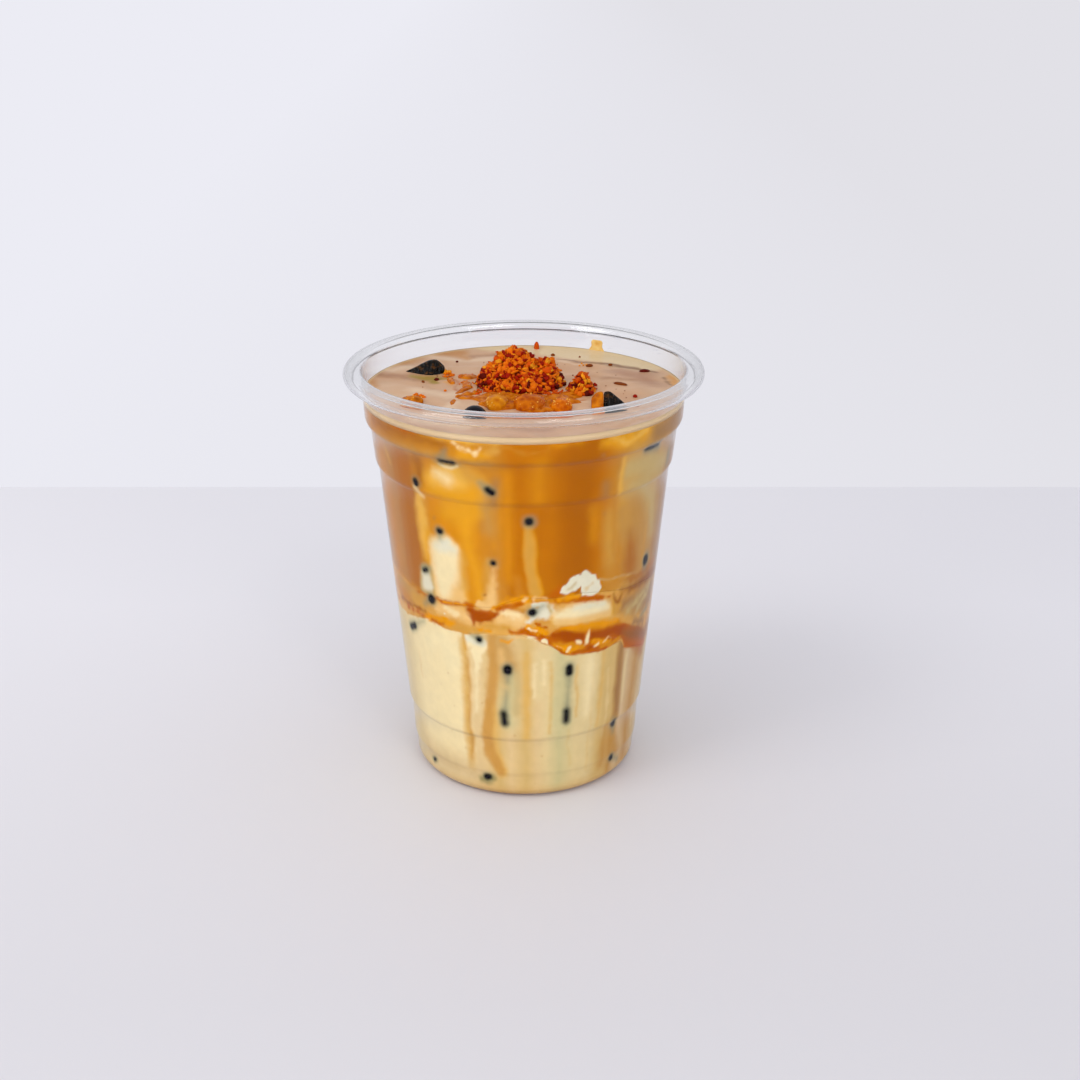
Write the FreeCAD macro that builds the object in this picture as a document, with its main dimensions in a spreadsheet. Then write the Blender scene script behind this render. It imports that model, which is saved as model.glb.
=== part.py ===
import FreeCAD, Part
import math
import os
import Sketcher
from FreeCAD import Vector

# A layered iced latte in a clear takeaway cup, in millimetres.
# +Z is up, the origin is the centre of the cup's foot, and the front faces -Y.

cupSizes = {
    # the cup as a whole
    "rimRadius": 49.0,
    "cupHeight": 117.5,
    "wall": 0.35,
    # rolled lip: a thin sheet that bends out over the wall and curls down
    "lipWidth": 4.7,
    "lipBend": 0.7,
    "curlRadius": 1.6,
    "curlTurn": 235.0,
    # upper wall: how far each stretch draws in, and where its ledges lie under the brim
    "collarDraw": 0.64,
    "upperLedge": 1.41,
    "upperLedgeDrop": 15.1,
    "upperLedgeRise": 2.5,
    "bandDraw": 0.99,
    "lowerLedge": 0.95,
    "lowerLedgeDrop": 26.7,
    "lowerLedgeRise": 2.5,
    # foot: radii and heights counted from the foot upwards
    "footRadius": 31.9,
    "footDraw": 0.36,
    "footRounding": 3.65,
    "footLedge": 0.37,
    "footLedgeHeight": 7.35,
    "footLedgeRise": 2.0,
    "skirtDraw": 0.52,
    "skirtLedge": 0.8,
    "skirtLedgeHeight": 19.06,
    "skirtLedgeRise": 1.94,
    # the underside is raised inside a narrow standing ring
    "standingRing": 1.4,
    "panelSlope": 2.4,
    "panelLift": 1.8,
}

drinkSizes = {
    "headspace": 7.3,
    "foamDepth": 1.4,
    # caramel swirl between the coffee above and the milk below
    "milkTop": 49.6,
    "milkTilt": 9.5,
    "milkRipple": 0.9,
    "caramelTop": 62.2,
    "caramelTilt": 0.8,
    "caramelRipple": 1.0,
    "rippleLength": 34.0,
}

# uneven heaps of crumbs and lumps of amber jelly, each resting a little way down in the drink
moundSizes = {
    "crumble_heap": {"x": -0.9, "y": 4.6, "width": 24.0, "depth": 24.4, "height": 10.2,
                     "sunk": 1.7, "lean": -1.3, "roughness": 1.0},
    "crumb_cluster": {"gap": 0.9, "ahead": 7.0, "width": 7.6, "depth": 10.0, "height": 5.2,
                      "sunk": 1.1, "lean": -0.6, "roughness": 1.0},
    "amber_cluster": {"wallGap": 11.9, "azimuth": 203.5, "width": 6.2, "depth": 5.2,
                      "height": 2.0, "sunk": 1.2, "lean": 0.3, "roughness": 0.9},
    "amber_lump_middle": {"x": 1.7, "ahead": 2.7, "width": 9.4, "depth": 11.0, "height": 3.4,
                          "sunk": 2.2, "lean": 0.6, "roughness": 0.45},
    "amber_lump_left": {"gap": 0.6, "ahead": 2.6, "width": 7.0, "depth": 10.4, "height": 3.2,
                        "sunk": 2.0, "lean": -0.4, "roughness": 0.4},
    "amber_lump_right": {"gap": 0.6, "ahead": 6.7, "width": 6.4, "depth": 7.0, "height": 2.9,
                         "sunk": 1.8, "lean": 0.2, "roughness": 0.6},
}

# cut pieces of jelly: a four-sided outline seen from the front, given a depth
slabSizes = {
    "black_jelly_left": {"wallGap": 11.2, "azimuth": 149.0, "turn": 12.0, "width": 10.6,
                         "depth": 5.0, "sunk": 2.4, "leftHeight": 0.4, "leftLean": 0.2,
                         "rightHeight": 4.0, "rightLean": 1.3, "rounding": 0.45},
    "amber_block": {"gap": 4.6, "behind": 1.6, "turn": -4.0, "width": 3.0, "depth": 4.6,
                    "sunk": 1.8, "leftHeight": 4.1, "leftLean": 0.5, "rightHeight": 4.3,
                    "rightLean": 0.2, "rounding": 0.5},
    "black_jelly_right": {"gap": 0.3, "behind": 0.4, "turn": -4.0, "width": 6.2, "depth": 4.4,
                          "sunk": 2.2, "leftHeight": 4.4, "leftLean": 0.4, "rightHeight": 3.9,
                          "rightLean": 3.9, "rounding": 0.4},
}

pearlSizes = {"pearlAside": 2.0, "pearlAhead": 2.0, "pearlRadius": 3.4, "pearlSunk": 1.1}

doc = FreeCAD.newDocument("IcedLatte")
sizes = doc.addObject("Spreadsheet::Sheet", "Sizes")


def camel(name):
    words = name.split("_")
    return words[0] + "".join(word.capitalize() for word in words[1:])


def aliasFor(name, key):
    return camel(name) + key[0].upper() + key[1:]


def fillSheet():
    rows = {}
    rows.update(cupSizes)
    rows.update(drinkSizes)
    rows.update(pearlSizes)
    for group in (moundSizes, slabSizes):
        for name, values in group.items():
            rows.update({aliasFor(name, key): value for key, value in values.items()})
    for row, (alias, value) in enumerate(rows.items(), start=1):
        sizes.set("A%d" % row, alias)
        sizes.set("B%d" % row, str(value))
        sizes.setAlias("B%d" % row, alias)
    doc.recompute()


def size(alias):
    return float(sizes.get(alias))


def sizesOf(name, keys):
    return {key: size(aliasFor(name, key)) for key in keys}


# Radii and heights of the cup's outer face, as expressions of the sheet's values.
brimRadius = "(Sizes.rimRadius - Sizes.lipWidth)"
lipBase = "(Sizes.cupHeight - Sizes.lipBend - Sizes.wall)"
collarFoot = brimRadius + " - Sizes.collarDraw"
upperCorner = collarFoot + " - Sizes.upperLedge"
bandFoot = upperCorner + " - Sizes.bandDraw"
lowerCorner = bandFoot + " - Sizes.lowerLedge"
footCorner = "Sizes.footRadius + Sizes.footDraw"
skirtFoot = footCorner + " + Sizes.footLedge"
skirtCorner = skirtFoot + " + Sizes.skirtDraw"
longWallFoot = skirtCorner + " + Sizes.skirtLedge"
upperCornerHeight = "Sizes.cupHeight - Sizes.upperLedgeDrop"
lowerCornerHeight = "Sizes.cupHeight - Sizes.lowerLedgeDrop"
ringOuter = "Sizes.footRadius - Sizes.footRounding"
ringInner = ringOuter + " - Sizes.standingRing"
fillLevel = "(Sizes.cupHeight - Sizes.headspace)"


def of(name, key):
    return "Sizes." + aliasFor(name, key)


def offWall(name):
    # a place given by its azimuth and its distance from the cup's inner wall
    reach = "(%s - Sizes.wall - %s)" % (brimRadius, of(name, "wallGap"))
    turn = "(%s * 1 deg)" % of(name, "azimuth")
    return ("%s * cos%s" % (reach, turn), "%s * sin%s" % (reach, turn))


def beside(name, neighbour, side, along):
    # a place at a gap to the right (side 1) or left (side -1) of a neighbour
    sign = "+" if side > 0 else "-"
    across = "%s %s (%s / 2 + %s + %s / 2)" % (
        places[neighbour][0], sign, of(neighbour, "width"), of(name, "gap"), of(name, "width"))
    return (across, along)


def aheadOfHeap(name):
    heap = "crumble_heap"
    return "%s - %s / 2 - %s - %s / 2" % (
        places[heap][1], of(heap, "depth"), of(name, "ahead"), of(name, "depth"))


# Where each topping stands on the drink, across and along.
places = {"crumble_heap": (of("crumble_heap", "x"), of("crumble_heap", "y"))}
places["crumb_cluster"] = beside("crumb_cluster", "crumble_heap", 1,
                                 "%s - %s" % (of("crumble_heap", "y"), of("crumb_cluster", "ahead")))
places["amber_cluster"] = offWall("amber_cluster")
places["amber_lump_middle"] = (of("amber_lump_middle", "x"), aheadOfHeap("amber_lump_middle"))
for lumpName, lumpSide in (("amber_lump_left", -1), ("amber_lump_right", 1)):
    places[lumpName] = beside(lumpName, "amber_lump_middle", lumpSide, aheadOfHeap(lumpName))
places["black_jelly_left"] = offWall("black_jelly_left")
for slabName, slabNeighbour in (("amber_block", "amber_lump_right"),
                                ("black_jelly_right", "amber_block")):
    places[slabName] = beside(slabName, slabNeighbour, 1, "%s + %s" % (
        places[slabNeighbour][1], of(slabName, "behind")))
places["pearl"] = (
    "%s - %s / 2 - Sizes.pearlAside" % (places["amber_lump_left"][0],
                                        of("amber_lump_left", "width")),
    "%s - %s / 2 - Sizes.pearlAhead" % (places["amber_lump_left"][1],
                                        of("amber_lump_left", "depth")),
)


def evaluate(expression):
    return float(sizes.evalExpression(expression.replace("Sizes.", "")))


def newSketch(body, name, role="XZ_Plane"):
    sketch = body.newObject("Sketcher::SketchObject", name)
    plane = next(feature for feature in body.Origin.OriginFeatures if feature.Role == role)
    sketch.AttachmentSupport = [(plane, "")]
    sketch.MapMode = "FlatFace"
    return sketch


def bind(sketch, kind, arguments, expression):
    value = evaluate(expression)
    index = sketch.addConstraint(Sketcher.Constraint(kind, *arguments, value))
    sketch.setExpression("Constraints[%d]" % index, expression)


def pin(sketch, edge, end, across, up):
    # ties one end of an edge to the sketch's origin by two distances
    bind(sketch, "DistanceX", (-1, 1, edge, end), across)
    if up is None:
        sketch.addConstraint(Sketcher.Constraint("PointOnObject", edge, end, -1))
    else:
        bind(sketch, "DistanceY", (-1, 1, edge, end), up)


def point(across, up):
    return Vector(evaluate(across), evaluate(up), 0)


def addLine(sketch, start, end):
    return sketch.addGeometry(Part.LineSegment(start, end), False)


def bulge(start, end, sag):
    # a point beside the middle of a chord, on its right-hand side
    chord = end.sub(start)
    side = Vector(chord.y, -chord.x, 0).normalize()
    return start.add(chord.multiply(0.5)).add(side.multiply(sag))


def makeOutline():
    # the cup's outer shape as a solid of revolution, brimful and without its lip
    body = doc.addObject("PartDesign::Body", "Brimful")
    sketch = newSketch(body, "OutlineSketch")
    corners = [
        ("0", "Sizes.panelLift"),
        (ringInner + " - Sizes.panelSlope", "Sizes.panelLift"),
        (ringInner, None),
        (ringOuter, None),
        ("Sizes.footRadius", "Sizes.footRounding"),
        (footCorner, "Sizes.footLedgeHeight"),
        (skirtFoot, "Sizes.footLedgeHeight + Sizes.footLedgeRise"),
        (skirtCorner, "Sizes.skirtLedgeHeight"),
        (longWallFoot, "Sizes.skirtLedgeHeight + Sizes.skirtLedgeRise"),
        (lowerCorner, lowerCornerHeight),
        (bandFoot, lowerCornerHeight + " + Sizes.lowerLedgeRise"),
        (upperCorner, upperCornerHeight),
        (collarFoot, upperCornerHeight + " + Sizes.upperLedgeRise"),
        (brimRadius, lipBase),
        ("0", lipBase),
    ]
    ledges = (5, 7, 9, 11)
    rounding = 3
    points = [point(across, up or "0") for across, up in corners]
    last = len(points) - 1
    edges = []
    for index in range(last):
        start, end = points[index], points[index + 1]
        if index in ledges or index == rounding:
            curve = Part.Arc(start, bulge(start, end, start.distanceToPoint(end) * 0.15), end)
            edges.append(sketch.addGeometry(curve, False))
        else:
            edges.append(addLine(sketch, start, end))
    edges.append(addLine(sketch, points[last], points[0]))
    for index in range(len(edges)):
        follower = edges[(index + 1) % len(edges)]
        sketch.addConstraint(Sketcher.Constraint("Coincident", edges[index], 2, follower, 1))
    for index, (across, up) in enumerate(corners):
        if across == "0":
            sketch.addConstraint(Sketcher.Constraint("PointOnObject", edges[index], 1, -2))
            bind(sketch, "DistanceY", (-1, 1, edges[index], 1), up)
        else:
            pin(sketch, edges[index], 1, across, up)
    for index in ledges:
        sketch.addConstraint(Sketcher.Constraint("Tangent", edges[index], edges[index + 1]))
    sketch.addConstraint(Sketcher.Constraint("Tangent", edges[rounding - 1], edges[rounding]))
    revolution = body.newObject("PartDesign::Revolution", "OutlineRevolution")
    revolution.Profile = sketch
    revolution.ReferenceAxis = (sketch, ["V_Axis"])
    revolution.Angle = 360
    doc.recompute()
    return body


def makeCup(outline):
    body = doc.addObject("PartDesign::Body", "Cup")
    body.Label = "cup"
    body.BaseFeature = outline
    doc.recompute()
    base = body.Group[0]
    top = evaluate(lipBase)
    mouth = next(
        "Face%d" % (index + 1)
        for index, face in enumerate(base.Shape.Faces)
        if abs(face.CenterOfMass.z - top) < 1e-6 and isinstance(face.Surface, Part.Plane)
    )
    shell = body.newObject("PartDesign::Thickness", "Wall")
    shell.Base = (base, [mouth])
    shell.setExpression("Value", "Sizes.wall")
    shell.Reversed = True
    shell.Join = "Intersection"
    doc.recompute()
    addLip(body)
    return body


def addLip(body):
    # a thin section: bend over the wall, flat top, curl; every arc runs anticlockwise
    sketch = newSketch(body, "LipSketch")
    wall, bend, curl = size("wall"), size("lipBend"), size("curlRadius")
    brim, base, top = evaluate(brimRadius), evaluate(lipBase), size("cupHeight")
    bendCentre = Vector(brim + bend, base, 0)
    curlCentre = Vector(size("rimRadius") - curl, top - curl, 0)
    curlStop = math.radians(90 - size("curlTurn"))
    upright = math.pi / 2

    def around(centre, radius, angle):
        return centre.add(Vector(radius * math.cos(angle), radius * math.sin(angle), 0))

    def arc(centre, radius, first, last):
        circle = Part.Circle(centre, Vector(0, 0, 1), radius)
        return sketch.addGeometry(Part.ArcOfCircle(circle, first, last), False)

    foot = addLine(sketch, Vector(brim - wall, base, 0), Vector(brim, base, 0))
    bendUnder = arc(bendCentre, bend, upright, math.pi)
    flatUnder = addLine(sketch, around(bendCentre, bend, upright),
                        around(curlCentre, curl - wall, upright))
    curlInside = arc(curlCentre, curl - wall, curlStop, upright)
    curlEnd = addLine(sketch, around(curlCentre, curl - wall, curlStop),
                      around(curlCentre, curl, curlStop))
    curlOutside = arc(curlCentre, curl, curlStop, upright)
    flatTop = addLine(sketch, around(curlCentre, curl, upright),
                      around(bendCentre, bend + wall, upright))
    bendOver = arc(bendCentre, bend + wall, upright, math.pi)

    first, last, middle = 1, 2, 3
    joins = [
        (foot, last, bendUnder, last), (bendUnder, first, flatUnder, first),
        (flatUnder, last, curlInside, last), (curlInside, first, curlEnd, first),
        (curlEnd, last, curlOutside, first), (curlOutside, last, flatTop, first),
        (flatTop, last, bendOver, first), (bendOver, last, foot, first),
        (bendUnder, middle, bendOver, middle), (curlInside, middle, curlOutside, middle),
    ]
    for join in joins:
        sketch.addConstraint(Sketcher.Constraint("Coincident", *join))
    curlAcross = "Sizes.rimRadius - Sizes.curlRadius"
    curlUp = "Sizes.cupHeight - Sizes.curlRadius"
    pin(sketch, bendUnder, middle, brimRadius + " + Sizes.lipBend", lipBase)
    pin(sketch, curlOutside, middle, curlAcross, curlUp)
    pin(sketch, foot, last, brimRadius, lipBase)
    pin(sketch, foot, first, brimRadius + " - Sizes.wall", lipBase)
    pin(sketch, curlOutside, first,
        curlAcross + " + Sizes.curlRadius * sin(Sizes.curlTurn * 1 deg)",
        curlUp + " + Sizes.curlRadius * cos(Sizes.curlTurn * 1 deg)")
    bind(sketch, "Radius", (curlInside,), "Sizes.curlRadius - Sizes.wall")
    sketch.addConstraint(Sketcher.Constraint("PointOnObject", curlOutside, middle, curlEnd))
    for edge, end in ((bendUnder, first), (bendOver, first), (curlInside, last),
                      (curlOutside, last)):
        sketch.addConstraint(Sketcher.Constraint("Vertical", edge, middle, edge, end))
    revolution = body.newObject("PartDesign::Revolution", "Lip")
    revolution.Profile = sketch
    revolution.ReferenceAxis = (sketch, ["V_Axis"])
    revolution.Angle = 360
    doc.recompute()


def setOnDrink(item, name, lift="0"):
    across, along = places[name]
    item.setExpression("Placement.Base.x", across)
    item.setExpression("Placement.Base.y", along)
    item.setExpression("Placement.Base.z", "%s + %s" % (fillLevel, lift))
    return item


def addBoolean(kind, name, base, tool):
    item = doc.addObject(kind, name)
    item.Base = base
    item.Tool = tool
    return item


def addTank(name, height):
    # everything up to a level height, out to the rim
    tank = doc.addObject("Part::Cylinder", name)
    tank.setExpression("Radius", "Sizes.rimRadius")
    tank.setExpression("Height", height)
    return tank


def addWavyTank(name, layer):
    # everything below a tilted, rippled surface, out to the rim
    top, tilt, ripple = (size(layer + key) for key in ("Top", "Tilt", "Ripple"))
    reach, wave = size("rimRadius"), 2 * math.pi / size("rippleLength")
    slope = math.tan(math.radians(tilt))
    steps = 13
    grid = []
    for row in range(steps):
        y = reach * (2 * row / (steps - 1) - 1)
        line = []
        for column in range(steps):
            x = reach * (2 * column / (steps - 1) - 1)
            swell = ripple * math.sin(wave * x + 0.8) * math.cos(wave * y * 0.8 + 0.5)
            line.append(Vector(x, y, top - slope * x + swell))
        grid.append(line)
    surface = Part.BSplineSurface()
    surface.interpolate(grid)
    depth = top + slope * reach + ripple
    tank = doc.addObject("Part::Feature", name)
    tank.Shape = surface.toShape().extrude(Vector(0, 0, -depth))
    return tank


def makeMound(name, keys):
    # a closed mound of flat facets with an uneven edge and knobbly flanks
    values = sizesOf(name, keys)
    rings, sectors = 6, 24
    rough = values["roughness"]

    def spot(ring, sector, upper):
        share = ring / rings
        turn = 2 * math.pi * sector / sectors
        edge = 1 - rough * (0.07 * math.sin(3 * turn + 0.6) + 0.05 * math.sin(8 * turn + 1.3))
        knob = 0.08 * math.sin(5 * turn + 9 * share) + 0.06 * math.sin(9 * turn - 7 * share)
        rise = (1 - share ** 2) ** 0.75
        if upper:
            lift = values["height"] * rise * (1 + rough * knob * math.sin(math.pi * share))
        else:
            lift = -values["sunk"] * (1 - share ** 4)
        across = values["lean"] * (1 - share) + values["width"] / 2 * share * edge * math.cos(turn)
        along = values["depth"] / 2 * share * edge * math.sin(turn)
        return Vector(across, along, lift)

    def face(*corners):
        return Part.Face(Part.makePolygon(list(corners) + [corners[0]]))

    faces = []
    for upper in (True, False):
        for sector in range(sectors):
            following = (sector + 1) % sectors
            peak = spot(0, 0, upper)
            faces.append(face(peak, spot(1, sector, upper), spot(1, following, upper)))
            for ring in range(1, rings):
                inner, innerNext = spot(ring, sector, upper), spot(ring, following, upper)
                outer, outerNext = spot(ring + 1, sector, upper), spot(ring + 1, following, upper)
                faces.append(face(inner, outer, outerNext))
                faces.append(face(inner, outerNext, innerNext))
    mound = Part.Solid(Part.Shell(faces))
    if mound.Volume < 0:
        mound.reverse()
    item = doc.addObject("Part::Feature", name)
    item.Shape = mound
    return setOnDrink(item, name)


def makeSlab(name):
    # a four-sided outline in the slab's own front view, padded both ways and rounded
    body = doc.addObject("PartDesign::Body", name)
    sketch = newSketch(body, name + "_outline")
    halfWidth = of(name, "width") + " / 2"
    corners = [
        ("-" + halfWidth, "-" + of(name, "sunk")),
        (halfWidth, "-" + of(name, "sunk")),
        ("%s - %s" % (halfWidth, of(name, "rightLean")), of(name, "rightHeight")),
        ("-%s + %s" % (halfWidth, of(name, "leftLean")), of(name, "leftHeight")),
    ]
    points = [point(across, up) for across, up in corners]
    edges = [addLine(sketch, points[index], points[(index + 1) % 4]) for index in range(4)]
    for index, (across, up) in enumerate(corners):
        sketch.addConstraint(
            Sketcher.Constraint("Coincident", edges[index - 1], 2, edges[index], 1))
        pin(sketch, edges[index], 1, across, up)
    pad = body.newObject("PartDesign::Pad", name + "_pad")
    pad.Profile = sketch
    pad.setExpression("Length", of(name, "depth"))
    pad.Midplane = True
    doc.recompute()
    fillet = body.newObject("PartDesign::Fillet", name + "_rounding")
    fillet.Base = (pad, ["Edge%d" % (index + 1) for index in range(len(pad.Shape.Edges))])
    fillet.setExpression("Radius", of(name, "rounding"))
    body.setExpression("Placement.Rotation.Angle", of(name, "turn"))
    return setOnDrink(body, name)


def makePearl():
    pearl = doc.addObject("Part::Sphere", "pearl")
    pearl.setExpression("Radius", "Sizes.pearlRadius")
    return setOnDrink(pearl, "pearl", "-Sizes.pearlSunk")


def makeDrink(outline, cup, toppings):
    # the cup's inside up to the drink's level, split into layers that fill it wall to wall
    filled = addBoolean("Part::Common", "FilledOutline", outline, addTank("Level", fillLevel))
    contents = addBoolean("Part::Cut", "Contents", filled, cup)
    sunken = doc.addObject("Part::Compound", "Sunken")
    sunken.Links = toppings
    belowMilk = addWavyTank("BelowMilkTop", "milk")
    belowCaramel = addWavyTank("BelowCaramelTop", "caramel")
    belowFoam = addTank("BelowFoam", fillLevel + " - Sizes.foamDepth")
    milk = addBoolean("Part::Common", "milk_layer", contents, belowMilk)
    lower = addBoolean("Part::Common", "LowerContents", contents, belowCaramel)
    caramel = addBoolean("Part::Cut", "caramel_layer", lower, belowMilk)
    upper = addBoolean("Part::Cut", "UpperContents", contents, belowCaramel)
    coffeeBlock = addBoolean("Part::Common", "CoffeeBlock", upper, belowFoam)
    foamDisc = addBoolean("Part::Cut", "FoamDisc", upper, belowFoam)
    coffee = addBoolean("Part::Cut", "coffee_layer", coffeeBlock, sunken)
    foam = addBoolean("Part::Cut", "milk_foam", foamDisc, sunken)
    return [milk, caramel, coffee, foam]


def check(nodes):
    doc.recompute()
    for item in doc.Objects:
        if "Invalid" in item.State or "Error" in item.State:
            raise RuntimeError("%s did not build: %s" % (item.Name, item.State))
    for node in nodes:
        shape = node.Shape
        if shape.isNull() or not shape.isValid() or len(shape.Solids) != 1:
            raise RuntimeError("%s is not one valid solid" % node.Label)


def export(nodes):
    os.makedirs("parts", exist_ok=True)
    for node in nodes:
        node.Shape.exportStep("parts/%s.step" % node.Label)
        print("%-20s %10.1f cubic mm" % (node.Label, node.Shape.Volume))


fillSheet()
outline = makeOutline()
cup = makeCup(outline)
toppings = [makeMound(name, keys) for name, keys in moundSizes.items()]
toppings += [makeSlab(name) for name in slabSizes]
toppings.append(makePearl())
nodes = [cup] + makeDrink(outline, cup, toppings) + toppings
check(nodes)
export(nodes)
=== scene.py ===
import math
import random
import bmesh
import bpy
import numpy as np
from mathutils import Matrix, Vector


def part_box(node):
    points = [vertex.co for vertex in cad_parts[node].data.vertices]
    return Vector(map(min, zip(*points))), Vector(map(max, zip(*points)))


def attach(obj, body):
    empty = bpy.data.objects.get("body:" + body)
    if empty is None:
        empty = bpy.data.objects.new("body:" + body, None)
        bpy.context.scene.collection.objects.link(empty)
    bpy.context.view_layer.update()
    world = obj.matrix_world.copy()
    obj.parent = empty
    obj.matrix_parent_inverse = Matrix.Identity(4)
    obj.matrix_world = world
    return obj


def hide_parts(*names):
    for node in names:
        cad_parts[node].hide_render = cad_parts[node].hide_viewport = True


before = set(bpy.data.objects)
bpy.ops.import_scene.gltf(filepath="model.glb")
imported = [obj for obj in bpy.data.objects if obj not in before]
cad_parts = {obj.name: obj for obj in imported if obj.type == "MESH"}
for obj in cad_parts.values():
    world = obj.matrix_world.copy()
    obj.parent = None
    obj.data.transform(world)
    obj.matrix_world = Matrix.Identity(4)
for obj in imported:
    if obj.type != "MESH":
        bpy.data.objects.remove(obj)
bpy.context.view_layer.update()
mm = 0.001


def toLinear(colour):  # from the usual 0-255 screen values
    parts = np.asarray(colour, float) / 255
    return np.where(parts <= 0.04045, parts / 12.92, ((parts + 0.055) / 1.055) ** 2.4)


def rgba(colour):
    return (*toLinear(colour), 1)


class Wire:  # one socket, with the maths written as it is said
    def __init__(self, finish, socket):
        self.finish = finish
        self.socket = socket

    def join(self, operation, other):
        return self.finish.add("Math", {"operation": operation}, {0: self, 1: other}, "Value")

    def __add__(self, other):
        return self.join("ADD", other)

    def __mul__(self, other):
        return self.join("MULTIPLY", other)

    def __pow__(self, other):
        return self.join("POWER", other)

    def __gt__(self, other):
        return self.join("GREATER_THAN", other)


class Finish:
    def __init__(self, name):
        self.material = bpy.data.materials.new(name)
        self.material.use_nodes = True
        self.tree = self.material.node_tree
        self.tree.nodes.clear()

    def add(self, kind, settings=None, sockets=None, output=0):
        made = self.tree.nodes.new("ShaderNode" + kind)
        for key, value in (settings or {}).items():
            setattr(made, key, value)
        for key, value in (sockets or {}).items():
            if isinstance(value, Wire):
                self.tree.links.new(value.socket, made.inputs[key])
            else:
                made.inputs[key].default_value = value
        return Wire(self, made.outputs[output]) if len(made.outputs) else made

    def place(self):
        return self.add("TexCoord", output="Object")

    def along(self, axis):  # 0 for x, 1 for y
        return self.add("SeparateXYZ", None, {"Vector": self.place()}, axis)

    def painted(self, name):  # a colour laid on the points
        return self.add("Attribute", {"attribute_name": name}, output="Color")

    def noise(self, scale, detail=3, roughness=0.5):
        sockets = {"Vector": self.place(), "Scale": scale, "Detail": detail, "Roughness": roughness}
        return self.add("TexNoise", None, sockets)

    def between(self, factor, low, high):  # a number that runs from low to high
        return factor * (high - low) + low

    def ramp(self, value, low, high):  # 0 up to low and 1 from high on
        return self.add("MapRange", None, {"Value": value, "From Min": low, "From Max": high})

    def mix(self, factor, first, second, blend="MIX"):
        settings = {"data_type": "RGBA", "blend_type": blend}
        return self.add("Mix", settings, {0: factor, 6: first, 7: second}, 2)

    def over(self, factor, first, second):
        return self.add("MixShader", None, {0: factor, 1: first, 2: second})

    def bump(self, height, depth, strength):
        return self.add("Bump", None, {"Height": height, "Distance": depth, "Strength": strength})

    def surface(self, **sockets):
        named = {key.replace("_", " "): value for key, value in sockets.items()}
        return self.add("BsdfPrincipled", None, named)

    def done(self, shader):
        self.add("OutputMaterial", None, {"Surface": shader})
        return self.material


def linked(name, data):
    made = bpy.data.objects.new(name, data)
    bpy.context.scene.collection.objects.link(made)
    return made


def asObject(bm, name, material):
    mesh = bpy.data.meshes.new(name)
    bm.to_mesh(mesh)
    bm.free()
    mesh.materials.append(material)
    return linked(name, mesh)


def asPiece(bm, name, material, nodes=()):
    bmesh.ops.recalc_face_normals(bm, faces=bm.faces)
    piece = asObject(bm, name, material)
    piece.data.polygons.foreach_set("use_smooth", [True] * len(piece.data.polygons))
    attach(piece, "root")
    if nodes:
        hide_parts(*nodes)
    return piece


def thicken(piece, thickness, offset):  # the modifier that gives a sheet its thickness
    skin = piece.modifiers.new("thickness", "SOLIDIFY")
    skin.thickness = thickness * mm
    skin.offset = offset
    return skin


def vertexPlaces(mesh):
    places = np.empty(len(mesh.vertices) * 3)
    mesh.vertices.foreach_get("co", places)
    return places.reshape(-1, 3)


def setPlaces(mesh, places):
    mesh.vertices.foreach_set("co", places.astype(np.float32).ravel())
    mesh.update()


def setTones(mesh, colours):
    layer = mesh.attributes.new("drinkTone", "FLOAT_COLOR", "POINT")
    full = np.ones((len(colours), 4), np.float32)
    full[:, :3] = np.clip(colours, 0, 1)
    layer.data.foreach_set("color", full.ravel())


def laid(x, y, height, turn=0):  # a place in millimetres, turned about the upright axis
    return Matrix.Translation(Vector((x, y, height)) * mm) @ Matrix.Rotation(math.radians(turn), 4, "Z")


def ball(bm, cuts, place, radius=mm):
    return bmesh.ops.create_icosphere(bm, subdivisions=cuts, radius=radius, matrix=place)["verts"]


def spun(path, steps):  # a path of (radius, height) turned about the upright axis
    bm = bmesh.new()
    points = [bm.verts.new((radius, 0, height)) for radius, height in path]
    edges = [bm.edges.new(pair) for pair in zip(points, points[1:])]
    bmesh.ops.spin(bm, geom=points + edges, cent=(0, 0, 0), axis=(0, 0, 1), dvec=(0, 0, 0),
                   angle=math.tau, steps=steps, use_merge=True)
    bmesh.ops.remove_doubles(bm, verts=bm.verts, dist=1e-6)
    return bm


def wrapped(path, steps):  # the same shape from a grid, quicker for a fine shell
    bm = bmesh.new()
    bmesh.ops.create_grid(bm, x_segments=steps, y_segments=len(path) - 1, size=1)
    last = len(path) - 1
    for vert in bm.verts:
        radius, height = path[round((vert.co.y + 1) / 2 * last)]
        angle = vert.co.x * math.pi
        vert.co = (radius * math.sin(angle), -radius * math.cos(angle), height)
    bmesh.ops.remove_doubles(bm, verts=bm.verts, dist=1e-6)
    return bm


def arc(centre, radius, start, end, steps):
    angles = np.radians(np.linspace(start, end, steps + 1))
    return [(centre[0] + radius * math.cos(a), centre[1] + radius * math.sin(a)) for a in angles]


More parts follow.
